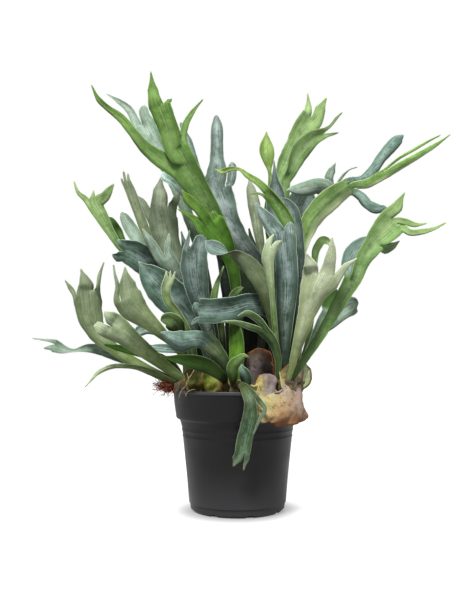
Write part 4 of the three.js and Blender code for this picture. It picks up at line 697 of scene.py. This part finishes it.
class Shader:
    """A material's node tree, with short ways to add and link nodes."""

    def __init__(self, name, roughness, specular=0.5, sheen=0.0):
        self.material = bpy.data.materials.new(name)
        self.material.use_nodes = True
        self.tree = self.material.node_tree
        self.shader = self.tree.nodes["Principled BSDF"]
        self.shader.inputs["Roughness"].default_value = roughness
        self.shader.inputs["Specular IOR Level"].default_value = specular
        self.shader.inputs["Sheen Weight"].default_value = sheen
        self.shader.inputs["Sheen Roughness"].default_value = 0.6
        self.position = self.node("ShaderNodeTexCoord").outputs["Object"]

    def node(self, kind, values=None, **settings):
        made = self.tree.nodes.new(kind)
        for key, value in settings.items():
            setattr(made, key, value)
        for key, value in (values or {}).items():
            self.feed(made.inputs[key], value)
        return made

    def feed(self, socket, value):
        if isinstance(value, bpy.types.NodeSocket):
            self.tree.links.new(value, socket)
        else:
            socket.default_value = value

    def read(self, attribute):
        return self.node("ShaderNodeAttribute", attribute_name=attribute).outputs["Fac"]

    def math(self, operation, a, b=0.0):
        made = self.node("ShaderNodeMath", operation=operation)
        self.feed(made.inputs[0], a)
        self.feed(made.inputs[1], b)
        return made.outputs[0]

    def times(self, *values):
        return functools.reduce(lambda a, b: self.math("MULTIPLY", a, b), values)

    def total(self, *shares):
        """The sum of (value, factor) shares."""
        return functools.reduce(lambda a, b: self.math("ADD", a, b), [self.times(*share) for share in shares])

    def spread(self, value, low, high, to_low=0.0, to_high=1.0):
        """value from low..high mapped smoothly onto to_low..to_high."""
        made = self.node("ShaderNodeMapRange", interpolation_type="SMOOTHSTEP")
        for key, number in zip(("Value", "From Min", "From Max", "To Min", "To Max"),
                               (value, low, high, to_low, to_high)):
            self.feed(made.inputs[key], number)
        return made.outputs["Result"]

    def vector(self, x, y, z):
        made = self.node("ShaderNodeCombineXYZ")
        for socket, value in zip(made.inputs, (x, y, z)):
            self.feed(socket, value)
        return made.outputs[0]

    def noise(self, place, scale, detail=3.0, rough=0.55):
        made = self.node("ShaderNodeTexNoise", {"Vector": place, "Scale": scale, "Detail": detail,
                                                "Roughness": rough})
        return made.outputs["Fac"]

    def mix(self, amount, a, b, blend="MIX"):
        made = self.node("ShaderNodeMix", data_type="RGBA", blend_type=blend, clamp_factor=True)
        self.feed(made.inputs["Factor"], amount)
        for socket in made.inputs:
            if socket.type == "RGBA":
                self.feed(socket, a if socket.name == "A" else b)
        return next(out for out in made.outputs if out.type == "RGBA")

    def ramp(self, value, stops, shade=1.0):
        """A colour ramp through (place, hexadecimal colour) stops."""
        made = self.node("ShaderNodeValToRGB", {"Fac": value})
        elements = made.color_ramp.elements
        while len(elements) < len(stops):
            elements.new(1.0)
        for element, (place, code) in zip(elements, stops):
            element.position = place
            element.color = rgb(code, shade)
        return made.outputs["Color"]

    def finish(self, colour, height=None, strength=0.3, distance=0.3):
        self.feed(self.shader.inputs["Base Color"], colour)
        if height is not None:
            bump = self.node("ShaderNodeBump", {"Height": height, "Strength": strength,
                                                "Distance": distance * MM})
            self.feed(self.shader.inputs["Normal"], bump.outputs[0])
        return self.material


def frond_side(s, look, shade, marks, grain, cloud):
    """One side of a frond: felt rubbed off in places over green, a lighter middle of felt and painted sheen, darker
    flanks of painted shade, a pale hem and fine streaks.
    """
    deep, felt, margin = (rgb(look[key], shade) for key in ("deep", "felt", "margin"))
    colour = s.ramp(marks["reach"], look["run"], shade)
    wear = s.total((grain, 0.5), (cloud, 0.5))
    colour = s.mix(s.spread(wear, 0.56, 0.4, 0.0, look["wear_and_shade"]), colour, deep)
    off_middle = s.math("ABSOLUTE", marks["side"])
    # The lighter middle and the pale hem fade in from the foot of the blade upwards, so the painted shade at the
    # foot stays dark
    away_from_foot = s.spread(marks["reach"], 0.0, 0.55, 0.25, 1.0)
    # The middle is lightened with the felt colour: partly felt, partly a painted sheen
    felt_and_sheen = s.times(s.spread(off_middle, 0.85, 0.05), s.spread(wear, 0.42, 0.58), away_from_foot, look["felt_and_sheen"])
    colour = s.mix(felt_and_sheen, colour, felt)
    # Painted shade: the flanks towards the margins are darkened with the deep colour
    colour = s.mix(s.spread(off_middle, 0.45, 1.0, 0.0, look["wear_and_shade"] * 0.8), colour, deep)
    # Painted light: one half of the blade is lightened with the margin colour, by "lit"
    colour = s.mix(s.spread(marks["side"], 0.1, 1.0, 0.0, look["lit"]), colour, margin)
    hem = s.times(s.spread(marks["edge"], look["hem"], 0.1), s.times(away_from_foot, look["rim"]))
    return s.mix(hem, colour, margin)


def frond_material(name, blade, hidden, seed):
    """A felted frond with its seen side turned to the viewer at rest and the hidden side behind it."""
    s = Shader(name, roughness=0.6, specular=0.1, sheen=0.03)
    marks = {key: s.read(key) for key in ("along", "across", "edge", "reach", "side", "tint", "under")}
    streaked = s.vector(s.times(marks["across"], 1.1), s.times(marks["along"], 0.035), seed)
    grain = s.noise(streaked, 1.0, 5.0, 0.6)
    cloud = s.noise(s.position, 70.0, 6.0, 0.68)
    fuzz = s.noise(s.position, 1100.0, 3.0, 0.6)
    seen, hidden, sea, deep = (
        frond_side(s, look, lightness, marks, grain, cloud)
        for look, lightness in ((blade["look"], blade["shade"]), (hidden, 1.0), (LOBE_SEA, 1.0), (LOBE_DEEP, 1.0)))
    turned_over = marks["under"] if blade["face"] > 0 else s.math("SUBTRACT", 1.0, marks["under"])
    colour = s.mix(turned_over, seen, hidden)
    colour = s.mix(s.spread(marks["tint"], 0.0, 1.0), colour, sea)
    colour = s.mix(s.spread(marks["tint"], 0.0, -1.0), colour, deep)
    # Painted shade: colour darkened to near black in the heart of the plant and towards its back, where leaves shade
    # each other
    back = s.node("ShaderNodeSeparateXYZ", {0: s.position}).outputs[1]
    away = s.node("ShaderNodeVectorMath", {0: s.position, 1: HEART}, operation="DISTANCE").outputs["Value"]
    painted_heart_shade = s.times(s.spread(away, *HEART_REACH), s.spread(back, *HEART_FRONT, 0.0, HEART_SHADE))
    colour = s.mix(painted_heart_shade, colour, rgb("060903"))
    bright = s.spread(fuzz, 0.3, 0.7, 0.86, 1.12)
    bright = s.node("ShaderNodeCombineColor", {0: bright, 1: bright, 2: bright}).outputs[0]
    colour = s.mix(1.0, colour, bright, "MULTIPLY")
    dents = s.noise(s.position, 32.0, 2.0, 0.5)
    return s.finish(colour, s.total((grain, 0.6), (fuzz, 0.12), (cloud, 1.2), (dents, 5.0)), 0.5, 0.9)


def crease_lines(s, position, scale, width):
    """Thin winding lines, where a noise crosses its middle value."""
    level = s.math("ABSOLUTE", s.math("SUBTRACT", s.noise(position, scale, 3.0, 0.5), 0.5))
    return s.spread(level, 0.0, width, 1.0, 0.0)


def shield_material(name, look, seed):
    """A papery shield: colours along its reach and from side to side, creases, blotches and a torn dark edge."""
    s = Shader(name, roughness=0.75, specular=0.1, sheen=0.02)
    edge, reach, side = (s.read(key) for key in ("edge", "reach", "side"))
    moved = s.node("ShaderNodeVectorMath", {0: s.position, 1: (seed, 0.0, 0.0)}, operation="ADD").outputs[0]
    cloud = s.noise(moved, 55.0, 5.0, 0.65)
    drift, sideways = (s.math("ADD", place, s.times(s.math("SUBTRACT", cloud, 0.5), amount))
                       for place, amount in ((reach, 0.7), (side, 1.6)))
    colour = s.mix(s.spread(sideways, -0.5, 0.5), s.ramp(drift, look["left"]), s.ramp(drift, look["right"]))
    blotch = s.spread(s.noise(moved, 130.0, 5.0, 0.7), 0.52, 0.66, 0.0, look["spotted"])
    colour = s.mix(blotch, colour, rgb(look["spots"]))
    veins = s.math("MAXIMUM", crease_lines(s, moved, 42.0, 0.02), crease_lines(s, moved, 90.0, 0.02))
    colour = s.mix(s.times(veins, 0.22), colour, rgb(look["vein"]))
    grain = s.noise(moved, 700.0, 3.0, 0.65)
    colour = s.mix(s.spread(grain, 0.45, 0.75, 0.0, 0.35), colour, rgb(look["spots"]))
    torn = s.spread(s.math("SUBTRACT", edge, s.times(cloud, 4.0)), 0.6, -1.2, 0.0, 0.85)
    colour = s.mix(torn, colour, rgb(look["hem"]))
    return s.finish(colour, s.total((veins, 0.25), (cloud, 2.2), (grain, 0.3)), 0.7, 1.0)


# Fronds and shields


def add_frond(name, blade, seed):
    sheet = Sheet(blade, seed, wave=1.7, swell=2.0, ragged=0.06)
    piece = thick_blade(name + "_blade", sheet, BLADE_THICKNESS, blade["face"], 0)
    hidden = UNDER_BEHIND if blade["face"] > 0 else UPPER_BEHIND
    piece.data.materials.append(frond_material(name + "_felt", blade, hidden, seed * 3.7))
    dress(piece, name)


SHIELD_LOOKS = {
    "shield_front": {
        "left": [(0, "8a5a3a"), (0.25, "a98a63"), (0.55, "b1aa72"), (0.8, "a9a560"), (1, "b57e48")],
        "right": [(0, "8a6244"), (0.2, "93806e"), (0.5, "9d928c"), (0.75, "8a7f7c"), (1, "55494a")],
        "spots": "7a4426", "spotted": 0.75, "vein": "6f5a48", "hem": "5a2f1a"},
    "shield_back": {
        "left": [(0, "4a4039"), (0.5, "6a605c"), (0.85, "463628"), (1, "7a4a2a")],
        "right": [(0, "241c16"), (0.6, "221a14"), (0.85, "30200f"), (1, "7a4824")],
        "spots": "231b16", "spotted": 0.7, "vein": "1b1512", "hem": "8a5028"},
    "shield_lime": {
        "left": [(0, "c8d284"), (0.5, "e2eea2"), (1, "ecf6c0")],
        "right": [(0, "ccd48c"), (0.5, "e6f0bc"), (1, "eef4d0")],
        "spots": "8a9a55", "spotted": 0.3, "vein": "dde6bc", "hem": "7a5530"},
    "shield_left": {
        "left": [(0, "5a4e2a"), (0.4, "6f7238"), (0.75, "465020"), (1, "3f4a1c")],
        "right": [(0, "6a5a34"), (0.4, "7c823e"), (0.75, "4a5526"), (1, "465222")],
        "spots": "4a3a20", "spotted": 0.6, "vein": "868c4c", "hem": "5e4024"},
    "shield_centre": {
        "left": [(0, "a39c4c"), (0.4, "9aa845"), (0.72, "3a5208"), (1, "1e2e02")],
        "right": [(0, "a8985a"), (0.4, "abb45a"), (0.72, "3c4e0c"), (1, "1c2a04")],
        "spots": "5a4a26", "spotted": 0.55, "vein": "a7ae62", "hem": "6b4a2a"},
}


def add_shield(name, blade, seed):
    sheet = Sheet(blade, seed, wave=1.6, swell=1.8, ragged=0.2)
    piece = thick_blade(name + "_plate", sheet, SHIELD_THICKNESS, blade["face"], 2.2)
    piece.data.materials.append(shield_material(name + "_paper", SHIELD_LOOKS[name], seed))
    dress(piece, name)


def dress(piece, node):
    """The piece stands for its node, which is hidden, and moves with the one body."""
    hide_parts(node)
    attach(piece, "root")


# Pot: a profile of (radius, height) turned round the axis

POT_OUTSIDE = [
    (0, 1.2), (50, 1.2), (52, 0), (57.6, 0), (58.4, 0.6), (60.2, 2.6), (61.5, 3.6), (61.9, 8), (62.8, 11.0),
    (63.4, 11.4), (66.2, 45), (69.4, 76.4), (71.4, 95.6), (71.9, 96.8), (72.0, 98.0), (71.6, 99.2),
    (72.3, 103.6), (72.8, 104.8), (72.9, 106.0), (72.6, 107.2), (73.5, 111.5), (75.2, 117), (75.9, 118.6),
    (79.4, 120.4), (80.2, 121.6), (80.6, 125), (82.6, 139), (83.6, 152.2), (83.9, 153.2), (84.8, 153.8),
    (85, 154.8), (85, 157.2), (84.5, 157.9),
]
POT_INSIDE = [
    (83.9, 158), (82.8, 157.6), (82.2, 156.8), (81.7, 152), (80.6, 130), (78.4, 122.6), (74.0, 119), (70.2, 98),
    (60.4, 6), (58, 2.8), (0, 2.8),
]
POT_SEGMENTS = 144

# Drain notches in the foot ring: how many, where the first one is, how deep they cut and their (across, up) outline
NOTCHES = 8
NOTCH_TURN = 15
NOTCH_RADII = (54.5, 66)
NOTCH_OUTLINE = ((-5.5, -1), (5.5, -1), (4.2, 2.6), (2.6, 3.6), (-2.6, 3.6), (-4.2, 2.6))


def circle(radius, height, segments):
    """Points of a level circle round the axis."""
    angles = [math.tau * k / segments for k in range(segments)]
    return [(radius * math.cos(angle), radius * math.sin(angle), height) for angle in angles]


def turned(name, profile, segments):
    """A closed body from a profile that starts and ends on the axis."""
    rings = profile[1:-1]
    points = [(0, 0, profile[0][1])]
    for radius, height in rings:
        points += circle(radius, height, segments)
    points.append((0, 0, profile[-1][1]))
    faces = []
    for i in range(len(rings) - 1):
        for k in range(segments):
            a, b = 1 + i * segments + k, 1 + i * segments + (k + 1) % segments
            faces.append((a, b, b + segments, a + segments))
    last = 1 + (len(rings) - 1) * segments
    for k in range(segments):
        faces.append((0, 1 + (k + 1) % segments, 1 + k))
        faces.append((len(points) - 1, last + k, last + (k + 1) % segments))
    return make_mesh(name, points, faces)


def cut(piece, cutter):
    """Takes cutter out of piece."""
    modifier = piece.modifiers.new("cut", "BOOLEAN")
    modifier.object = cutter
    modifier.operation = "DIFFERENCE"
    modifier.solver = "EXACT"
    bake_modifiers(piece)
    bpy.data.objects.remove(cutter)


def bake_modifiers(piece):
    graph = bpy.context.evaluated_depsgraph_get()
    mesh = bpy.data.meshes.new_from_object(piece.evaluated_get(graph))
    piece.modifiers.clear()
    piece.data = mesh


def notch_cutter():
    points = []
    faces = []
    corners = len(NOTCH_OUTLINE)
    for i in range(NOTCHES):
        angle = math.radians(NOTCH_TURN + 360 * i / NOTCHES)
        out = np.array([math.cos(angle), math.sin(angle)])
        side = np.array([-out[1], out[0]])
        base = len(points)
        points += [(*(out * radius + side * across), z) for radius in NOTCH_RADII for across, z in NOTCH_OUTLINE]
        faces.append(tuple(base + k for k in reversed(range(corners))))
        faces.append(tuple(base + corners + k for k in range(corners)))
        for k in range(corners):
            after = (k + 1) % corners
            faces.append((base + k, base + after, base + corners + after, base + corners + k))
    return make_mesh("notch_cutter", points, faces)


def pot_material():
    s = Shader("pot_black_plastic", roughness=0.5, specular=0.2)
    cloud = s.noise(s.position, 22.0, 4.0, 0.6)
    speck = s.spread(s.noise(s.position, 900.0, 2.0), 0.62, 0.72, 0.0, 0.5)
    height = s.node("ShaderNodeSeparateXYZ", {0: s.position}).outputs[2]
    colour = s.mix(cloud, rgb("0f0f10"), rgb("151516"))
    # Painted sheen: the pot is lighter towards its foot, below 70 mm
    low = s.spread(height, 0.07, 0.0, 0.0, 0.8)
    colour = s.mix(low, colour, rgb("363638"))
    colour = s.mix(speck, colour, rgb("2c2c2e"))
    dust = s.times(s.spread(height, 0.03, 0.0, 0.0, 0.35), s.spread(cloud, 0.35, 0.7))
    colour = s.mix(dust, colour, rgb("3a3836"))
    lip = s.times(s.spread(height, 0.1535, 0.1545), 0.55)
    colour = s.mix(lip, colour, rgb("4c4c50"))
    rough = s.spread(cloud, 0.3, 0.7, 0.42, 0.56)
    s.feed(s.shader.inputs["Roughness"], rough)
    stretched = s.node("ShaderNodeVectorMath", {0: s.position, 1: (1.0, 1.0, 0.12)}, operation="MULTIPLY").outputs[0]
    streaks = s.noise(stretched, 240.0, 3.0)
    grain = s.math("ADD", s.noise(s.position, 1300.0, 2.0), s.times(streaks, 0.6))
    return s.finish(colour, grain, 0.12, 0.25)


def add_pot():
    pot = turned("pot_turned", POT_OUTSIDE + POT_INSIDE, POT_SEGMENTS)
    cut(pot, notch_cutter())
    pot.data.shade_smooth()
    pot.data.set_sharp_from_angle(angle=math.radians(42))
    pot.data.materials.append(pot_material())
    dress(pot, "pot")


# Growing mix: a filled body with an uneven top, and bark chips lying on it

MIX_RADIUS = 79.6
MIX_TOP = 146
MIX_RINGS = 40
MIX_SEGMENTS = 96
MIX_SIDE = ((79.4, 131), (77.2, 122), (73.2, 118), (69.6, 98), (59.6, 3.2))
MIX_SIDE_TONE = 0.1

# Lumps of the top: (length, place in the noise, height)
MIX_LUMPS = ((9, 3, 1.6), (3, 8, 0.8))

# Bark chips: how many, their sizes, heights over the top, tilt, uneven corners and tones
CHIPS = 520
CHIP_SIZES = ((2.5, 7), (1.6, 4), (0.8, 2))
CHIP_HEIGHTS = (-1.2, 1.0)
CHIP_TILTS = (-0.5, 0.5)
CHIP_CORNERS = (0.7, 1.05)
CHIP_TONES = (0.3, 1.0)


def mix_material():
    s = Shader("bark_and_peat", roughness=0.92, specular=0.2)
    tone = s.read("tone")
    grain = s.noise(s.position, 520.0, 4.0, 0.7)
    chip = s.ramp(tone, [(0, "2c211a"), (0.35, "4a3324"), (0.7, "6d4a30"), (1, "8a6644")])
    colour = s.mix(s.spread(grain, 0.3, 0.7, 0.0, 0.55), chip, rgb("231a14"))
    return s.finish(colour, grain, 0.8, 0.8)


def add_mix():
    draw = random.Random(7)
    points, faces, tones = [(0, 0, MIX_TOP)], [], [0.15]
    rings, segments = MIX_RINGS, MIX_SEGMENTS
    for i in range(1, rings + 1):
        for x, y, z in circle(MIX_RADIUS * i / rings, MIX_TOP - 1, segments):
            lump = sum(noise.noise(Vector((x / length, y / length, place))) * height
                       for length, place, height in MIX_LUMPS)
            points.append((x, y, z + lump * (1 if i < rings else 0.3)))
            tones.append(0.12 + 0.2 * abs(noise.noise(Vector((x / 5, y / 5, 1)))))
    for radius, height in MIX_SIDE:
        points += circle(radius, height, segments)
        tones += [MIX_SIDE_TONE] * segments
    points.append((0, 0, MIX_SIDE[-1][1]))
    tones.append(MIX_SIDE_TONE)
    for k in range(segments):
        faces.append((0, 1 + k, 1 + (k + 1) % segments))
        last = len(points) - 1 - segments
        faces.append((len(points) - 1, last + (k + 1) % segments, last + k))
        for i in range(rings + len(MIX_SIDE) - 1):
            a, b = 1 + i * segments + k, 1 + i * segments + (k + 1) % segments
            faces.append((a, a + segments, b + segments, b))
    for _ in range(CHIPS):
        radius = (MIX_RADIUS - 7) * math.sqrt(draw.random())
        angle = draw.uniform(0, math.tau)
        size = [draw.uniform(*sizes) for sizes in CHIP_SIZES]
        turn = Matrix.Rotation(draw.uniform(0, math.tau), 3, "Z")
        turn = turn @ Matrix.Rotation(draw.uniform(*CHIP_TILTS), 3, "X")
        centre = Vector((radius * math.cos(angle), radius * math.sin(angle), MIX_TOP + draw.uniform(*CHIP_HEIGHTS)))
        base = len(points)
        tone = draw.uniform(*CHIP_TONES)
        for z in (-1, 1):
            for x, y in ((-1, -1), (1, -1), (1, 1), (-1, 1)):
                corner = Vector([sign * half * draw.uniform(*CHIP_CORNERS) for sign, half in zip((x, y, z), size)])
                points.append(tuple(centre + turn @ corner))
                tones.append(tone)
        for face in ((3, 2, 1, 0), (4, 5, 6, 7), (0, 1, 5, 4), (1, 2, 6, 5), (2, 3, 7, 6), (3, 0, 4, 7)):
            faces.append(tuple(base + k for k in face))
    piece = make_mesh("mix_of_bark", points, faces, {"tone": tones})
    piece.data.set_sharp_from_angle(angle=math.radians(30))
    piece.data.materials.append(mix_material())
    dress(piece, "growing_mix")


# Rhizomes: the solids made finer and rough, with brown scales on the part above the mix

FINENESS = 1.6
SMOOTHINGS = 6
BUMP_LENGTH = 6
BUMP_HEIGHT = 1.6
BUMP_SINK = 0.9
SCALES = 420
SCALES_ABOVE = 8
SCALE_CORNERS = (0, 2.1, 4.2)
SCALE_LENGTHS = (2.0, 4.5)
SCALE_WIDTHS = (0.35, 0.7)


def rhizome_material():
    s = Shader("rhizome_scales", roughness=0.85, specular=0.2, sheen=0.15)
    grain = s.noise(s.position, 380.0, 4.0, 0.65)
    patch = s.noise(s.position, 60.0, 3.0)
    colour = s.mix(s.spread(patch, 0.35, 0.65), rgb("3a2f1e"), rgb("6a6430"))
    colour = s.mix(s.spread(grain, 0.45, 0.75, 0.0, 0.55), colour, rgb("6e5236"))
    return s.finish(colour, grain, 0.9, 1.0)


def add_rhizome(node, seed):
    draw = random.Random(seed)
    mesh = frame["nodes"][node].data.copy()
    piece = bpy.data.objects.new(node + "_stem", mesh)
    bpy.context.scene.collection.objects.link(piece)
    remesh = piece.modifiers.new("finer", "REMESH")
    remesh.mode = "VOXEL"
    remesh.voxel_size = FINENESS * MM
    soften = piece.modifiers.new("soften", "SMOOTH")
    soften.iterations = SMOOTHINGS
    bake_modifiers(piece)
    mesh = piece.data
    points = [Vector(v.co) / MM for v in mesh.vertices]
    normals = [Vector(v.normal) for v in mesh.vertices]
    faces = [tuple(p.vertices) for p in mesh.polygons]
    moved = [p + n * (noise.turbulence(p / BUMP_LENGTH, 3, False) * BUMP_HEIGHT - BUMP_SINK)
             for p, n in zip(points, normals)]
    above = [i for i, p in enumerate(points) if normals[i].z > 0.1 and p.z > MIX_TOP + SCALES_ABOVE]
    for i in draw.sample(above, min(len(above), SCALES)):
        lean = Vector((draw.uniform(-1, 1), draw.uniform(-1, 1), draw.uniform(0, 1))).normalized()
        out = (normals[i] * 0.5 + lean).normalized()
        side = out.orthogonal().normalized()
        other = out.cross(side)
        length, width = draw.uniform(*SCALE_LENGTHS), draw.uniform(*SCALE_WIDTHS)
        base = len(moved)
        root = moved[i] - normals[i] * 0.4
        for angle in SCALE_CORNERS:
            moved.append(root + side * width * math.cos(angle) + other * width * math.sin(angle))
        moved.append(root + out * length)
        faces += [(base, base + 1, base + 3), (base + 1, base + 2, base + 3), (base + 2, base, base + 3),
                  (base + 2, base + 1, base)]
    bpy.data.objects.remove(piece)
    piece = make_mesh(node + "_stem", [tuple(p) for p in moved], faces)
    piece.data.materials.append(rhizome_material())
    dress(piece, node)


# A coir tuft, roots and twigs at the rim


def tube(points, faces, path, radii, sides):
    """Adds a thin tube along a path, closed at both ends."""
    base = len(points)
    for i, p in enumerate(path):
        tangent = (path[min(i + 1, len(path) - 1)] - path[max(i - 1, 0)]).normalized()
        side = tangent.orthogonal().normalized()
        other = tangent.cross(side)
        for k in range(sides):
            angle = math.tau * k / sides
            points.append(tuple(p + (side * math.cos(angle) + other * math.sin(angle)) * radii[i]))
    for i in range(len(path) - 1):
        for k in range(sides):
            a, b = base + i * sides + k, base + i * sides + (k + 1) % sides
            faces.append((a, b, b + sides, a + sides))
    faces.append(tuple(base + k for k in reversed(range(sides))))
    faces.append(tuple(base + (len(path) - 1) * sides + k for k in range(sides)))


def smooth_path(path, steps):
    """Points of a smooth curve through the path."""
    ends = [path[0] * 2 - path[1], *path, path[-1] * 2 - path[-2]]
    fine = []
    for a, b, c, d in zip(ends, ends[1:], ends[2:], ends[3:]):
        for k in range(steps):
            t = k / steps
            fine.append((2 * b + (c - a) * t + (2 * a - 5 * b + 4 * c - d) * t * t
                         + (3 * b - a - 3 * c + d) * t ** 3) / 2)
    return fine + [path[-1]]


def fibre_material(name, dark, light):
    s = Shader(name, roughness=0.9, specular=0.15)
    colour = s.mix(s.spread(s.noise(s.position, 260.0, 3.0), 0.3, 0.7), rgb(dark), rgb(light))
    return s.finish(colour, s.noise(s.position, 1200.0, 2.0), 0.4, 0.3)


COIR_FIBRES = 420
COIR_CENTRE = (-87, -24, 162)
COIR_SPREAD = (7.5, 7, 3.6)
COIR_LEAN = (-0.6, -0.3, 0.0)
COIR_LENGTHS = (5, 13)
COIR_RADII = [0.36 * taper for taper in (0.9, 1, 1, 0.9, 0.8, 0.6, 0.3)]


def add_coir():
    draw = random.Random(11)
    points, faces = [], []
    steps = len(COIR_RADII) - 1
    for _ in range(COIR_FIBRES):
        path = [Vector([middle + draw.gauss(0, 1) * spread for middle, spread in zip(COIR_CENTRE, COIR_SPREAD)])]
        way = Vector([lean + draw.gauss(0, 0.55) for lean in COIR_LEAN]).normalized()
        length = draw.uniform(*COIR_LENGTHS)
        for _ in range(steps):
            way = (way + Vector([draw.gauss(0, 0.3) for _ in range(3)])).normalized()
            path.append(path[-1] + way * length / steps)
        tube(points, faces, path, COIR_RADII, 4)
    piece = make_mesh("coir_tuft", points, faces)
    piece.data.materials.append(fibre_material("coir_tuft_fibre", "5a2a18", "a4522c"))
    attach(piece, "root")


# Dead twigs and pale roots that stick out of the growing mix: (path, thickness)
TWIGS = [
    ([(-60, -52, 150), (-63, -58, 166), (-57, -60, 178), (-50, -58, 190)], 0.9),
    ([(-62, -54, 150), (-66, -62, 160), (-60, -66, 170), (-62, -64, 180)], 0.7),
    ([(-57, -50, 152), (-62, -64, 163), (-68, -68, 160), (-72, -66, 150)], 0.8),
    ([(-48, -52, 150), (-52, -66, 160), (-60, -70, 158), (-64, -68, 152)], 0.6),
]


def add_twigs():
    points, faces = [], []
    for path, thickness in TWIGS:
        fine = smooth_path([Vector(p) for p in path], 8)
        tube(points, faces, fine, [thickness * (1 - 0.5 * i / len(fine)) for i in range(len(fine))], 8)
    piece = make_mesh("rim_twigs", points, faces)
    piece.data.materials.append(fibre_material("twig_bark", "7d6a4c", "b8a684"))
    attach(piece, "root")


# Stage


FLOOR = [(-4000, -2500, 0), (4000, -2500, 0), (4000, 5000, 0), (-4000, 5000, 0)]
SENSOR_WIDTH = 36
LENS = 45.7
SHIFT_UP = 0.0815


def add_floor():
    floor = make_mesh("floor", FLOOR, [(0, 1, 2, 3)])
    s = Shader("floor_white", roughness=0.9, specular=0.1)
    s.shader.inputs["Emission Color"].default_value = (1, 1, 1, 1)
    # Painted shadow: the floor's own light is dimmed close round the pot's foot
    out = s.node("ShaderNodeVectorMath", {0: s.position}, operation="LENGTH").outputs["Value"]
    painted_foot_shadow = s.spread(out, FOOT_RADIUS * MM, FOOT_REACH * MM, FOOT_SHADE, 0.0)
    s.feed(s.shader.inputs["Emission Strength"], s.times(s.math("SUBTRACT", 1.0, painted_foot_shadow), FLOOR_GLOW))
    floor.data.materials.append(s.finish(s.mix(s.noise(s.position, 3.0), rgb("686868"), rgb("6c6c6c"))))
    # The floor shows white, and throws no light up into the leaves
    floor.visible_diffuse = False


def add_sun(name, toward, strength, angle):
    """A soft directional light that shines from the direction toward, angle degrees wide."""
    light = bpy.data.lights.new(name, "SUN")
    light.energy = strength
    light.angle = math.radians(angle)
    lamp = bpy.data.objects.new(name, light)
    lamp.rotation_euler = (-Vector(toward)).to_track_quat("-Z", "Y").to_euler()
    bpy.context.scene.collection.objects.link(lamp)


def add_world(ambient):
    """A white studio: the backdrop is plain white, and lights the plant with ambient strength."""
    world = bpy.data.worlds.new("studio")
    bpy.context.scene.world = world
    world.use_nodes = True
    tree = world.node_tree
    background = tree.nodes["Background"]
    background.inputs["Strength"].default_value = ambient
    backdrop = tree.nodes.new("ShaderNodeBackground")
    path = tree.nodes.new("ShaderNodeLightPath")
    choose = tree.nodes.new("ShaderNodeMixShader")
    for socket in (background.inputs["Color"], backdrop.inputs["Color"]):
        socket.default_value = (1, 1, 1, 1)
    tree.links.new(path.outputs["Is Camera Ray"], choose.inputs[0])
    tree.links.new(background.outputs[0], choose.inputs[1])
    tree.links.new(backdrop.outputs[0], choose.inputs[2])
    tree.links.new(choose.outputs[0], tree.nodes["World Output"].inputs[0])


def add_camera():
    data = bpy.data.cameras.new("camera")
    data.sensor_width = SENSOR_WIDTH
    data.lens = LENS
    data.shift_y = SHIFT_UP
    camera = bpy.data.objects.new("camera", data)
    camera.location = (0, -STAND_OFF * MM, EYE_LEVEL * MM)
    camera.rotation_euler = (math.radians(90), 0, 0)
    bpy.context.scene.collection.objects.link(camera)
    bpy.context.scene.camera = camera


# The whole plant

add_pot()
add_mix()
for seed, node in enumerate(("rhizome_left", "rhizome_right", "rhizome_middle")):
    add_rhizome(node, seed + 1)
for seed, (node, blade) in enumerate(FRONDS.items()):
    add_frond(node, blade, seed + 1)
for seed, (node, blade) in enumerate(SHIELDS.items()):
    add_shield(node, blade, seed + 101)
add_coir()
add_twigs()

add_camera()
add_floor()
add_world(ambient=0.33)
add_sun("key", (-0.38, -0.95, 1.5), strength=4.9, angle=12)
add_sun("fill", (1.0, -0.6, 0.7), strength=0.6, angle=60)
add_sun("back", (0.3, 1.0, 0.9), strength=2.2, angle=30)
bpy.context.scene.view_settings.view_transform = "Standard"
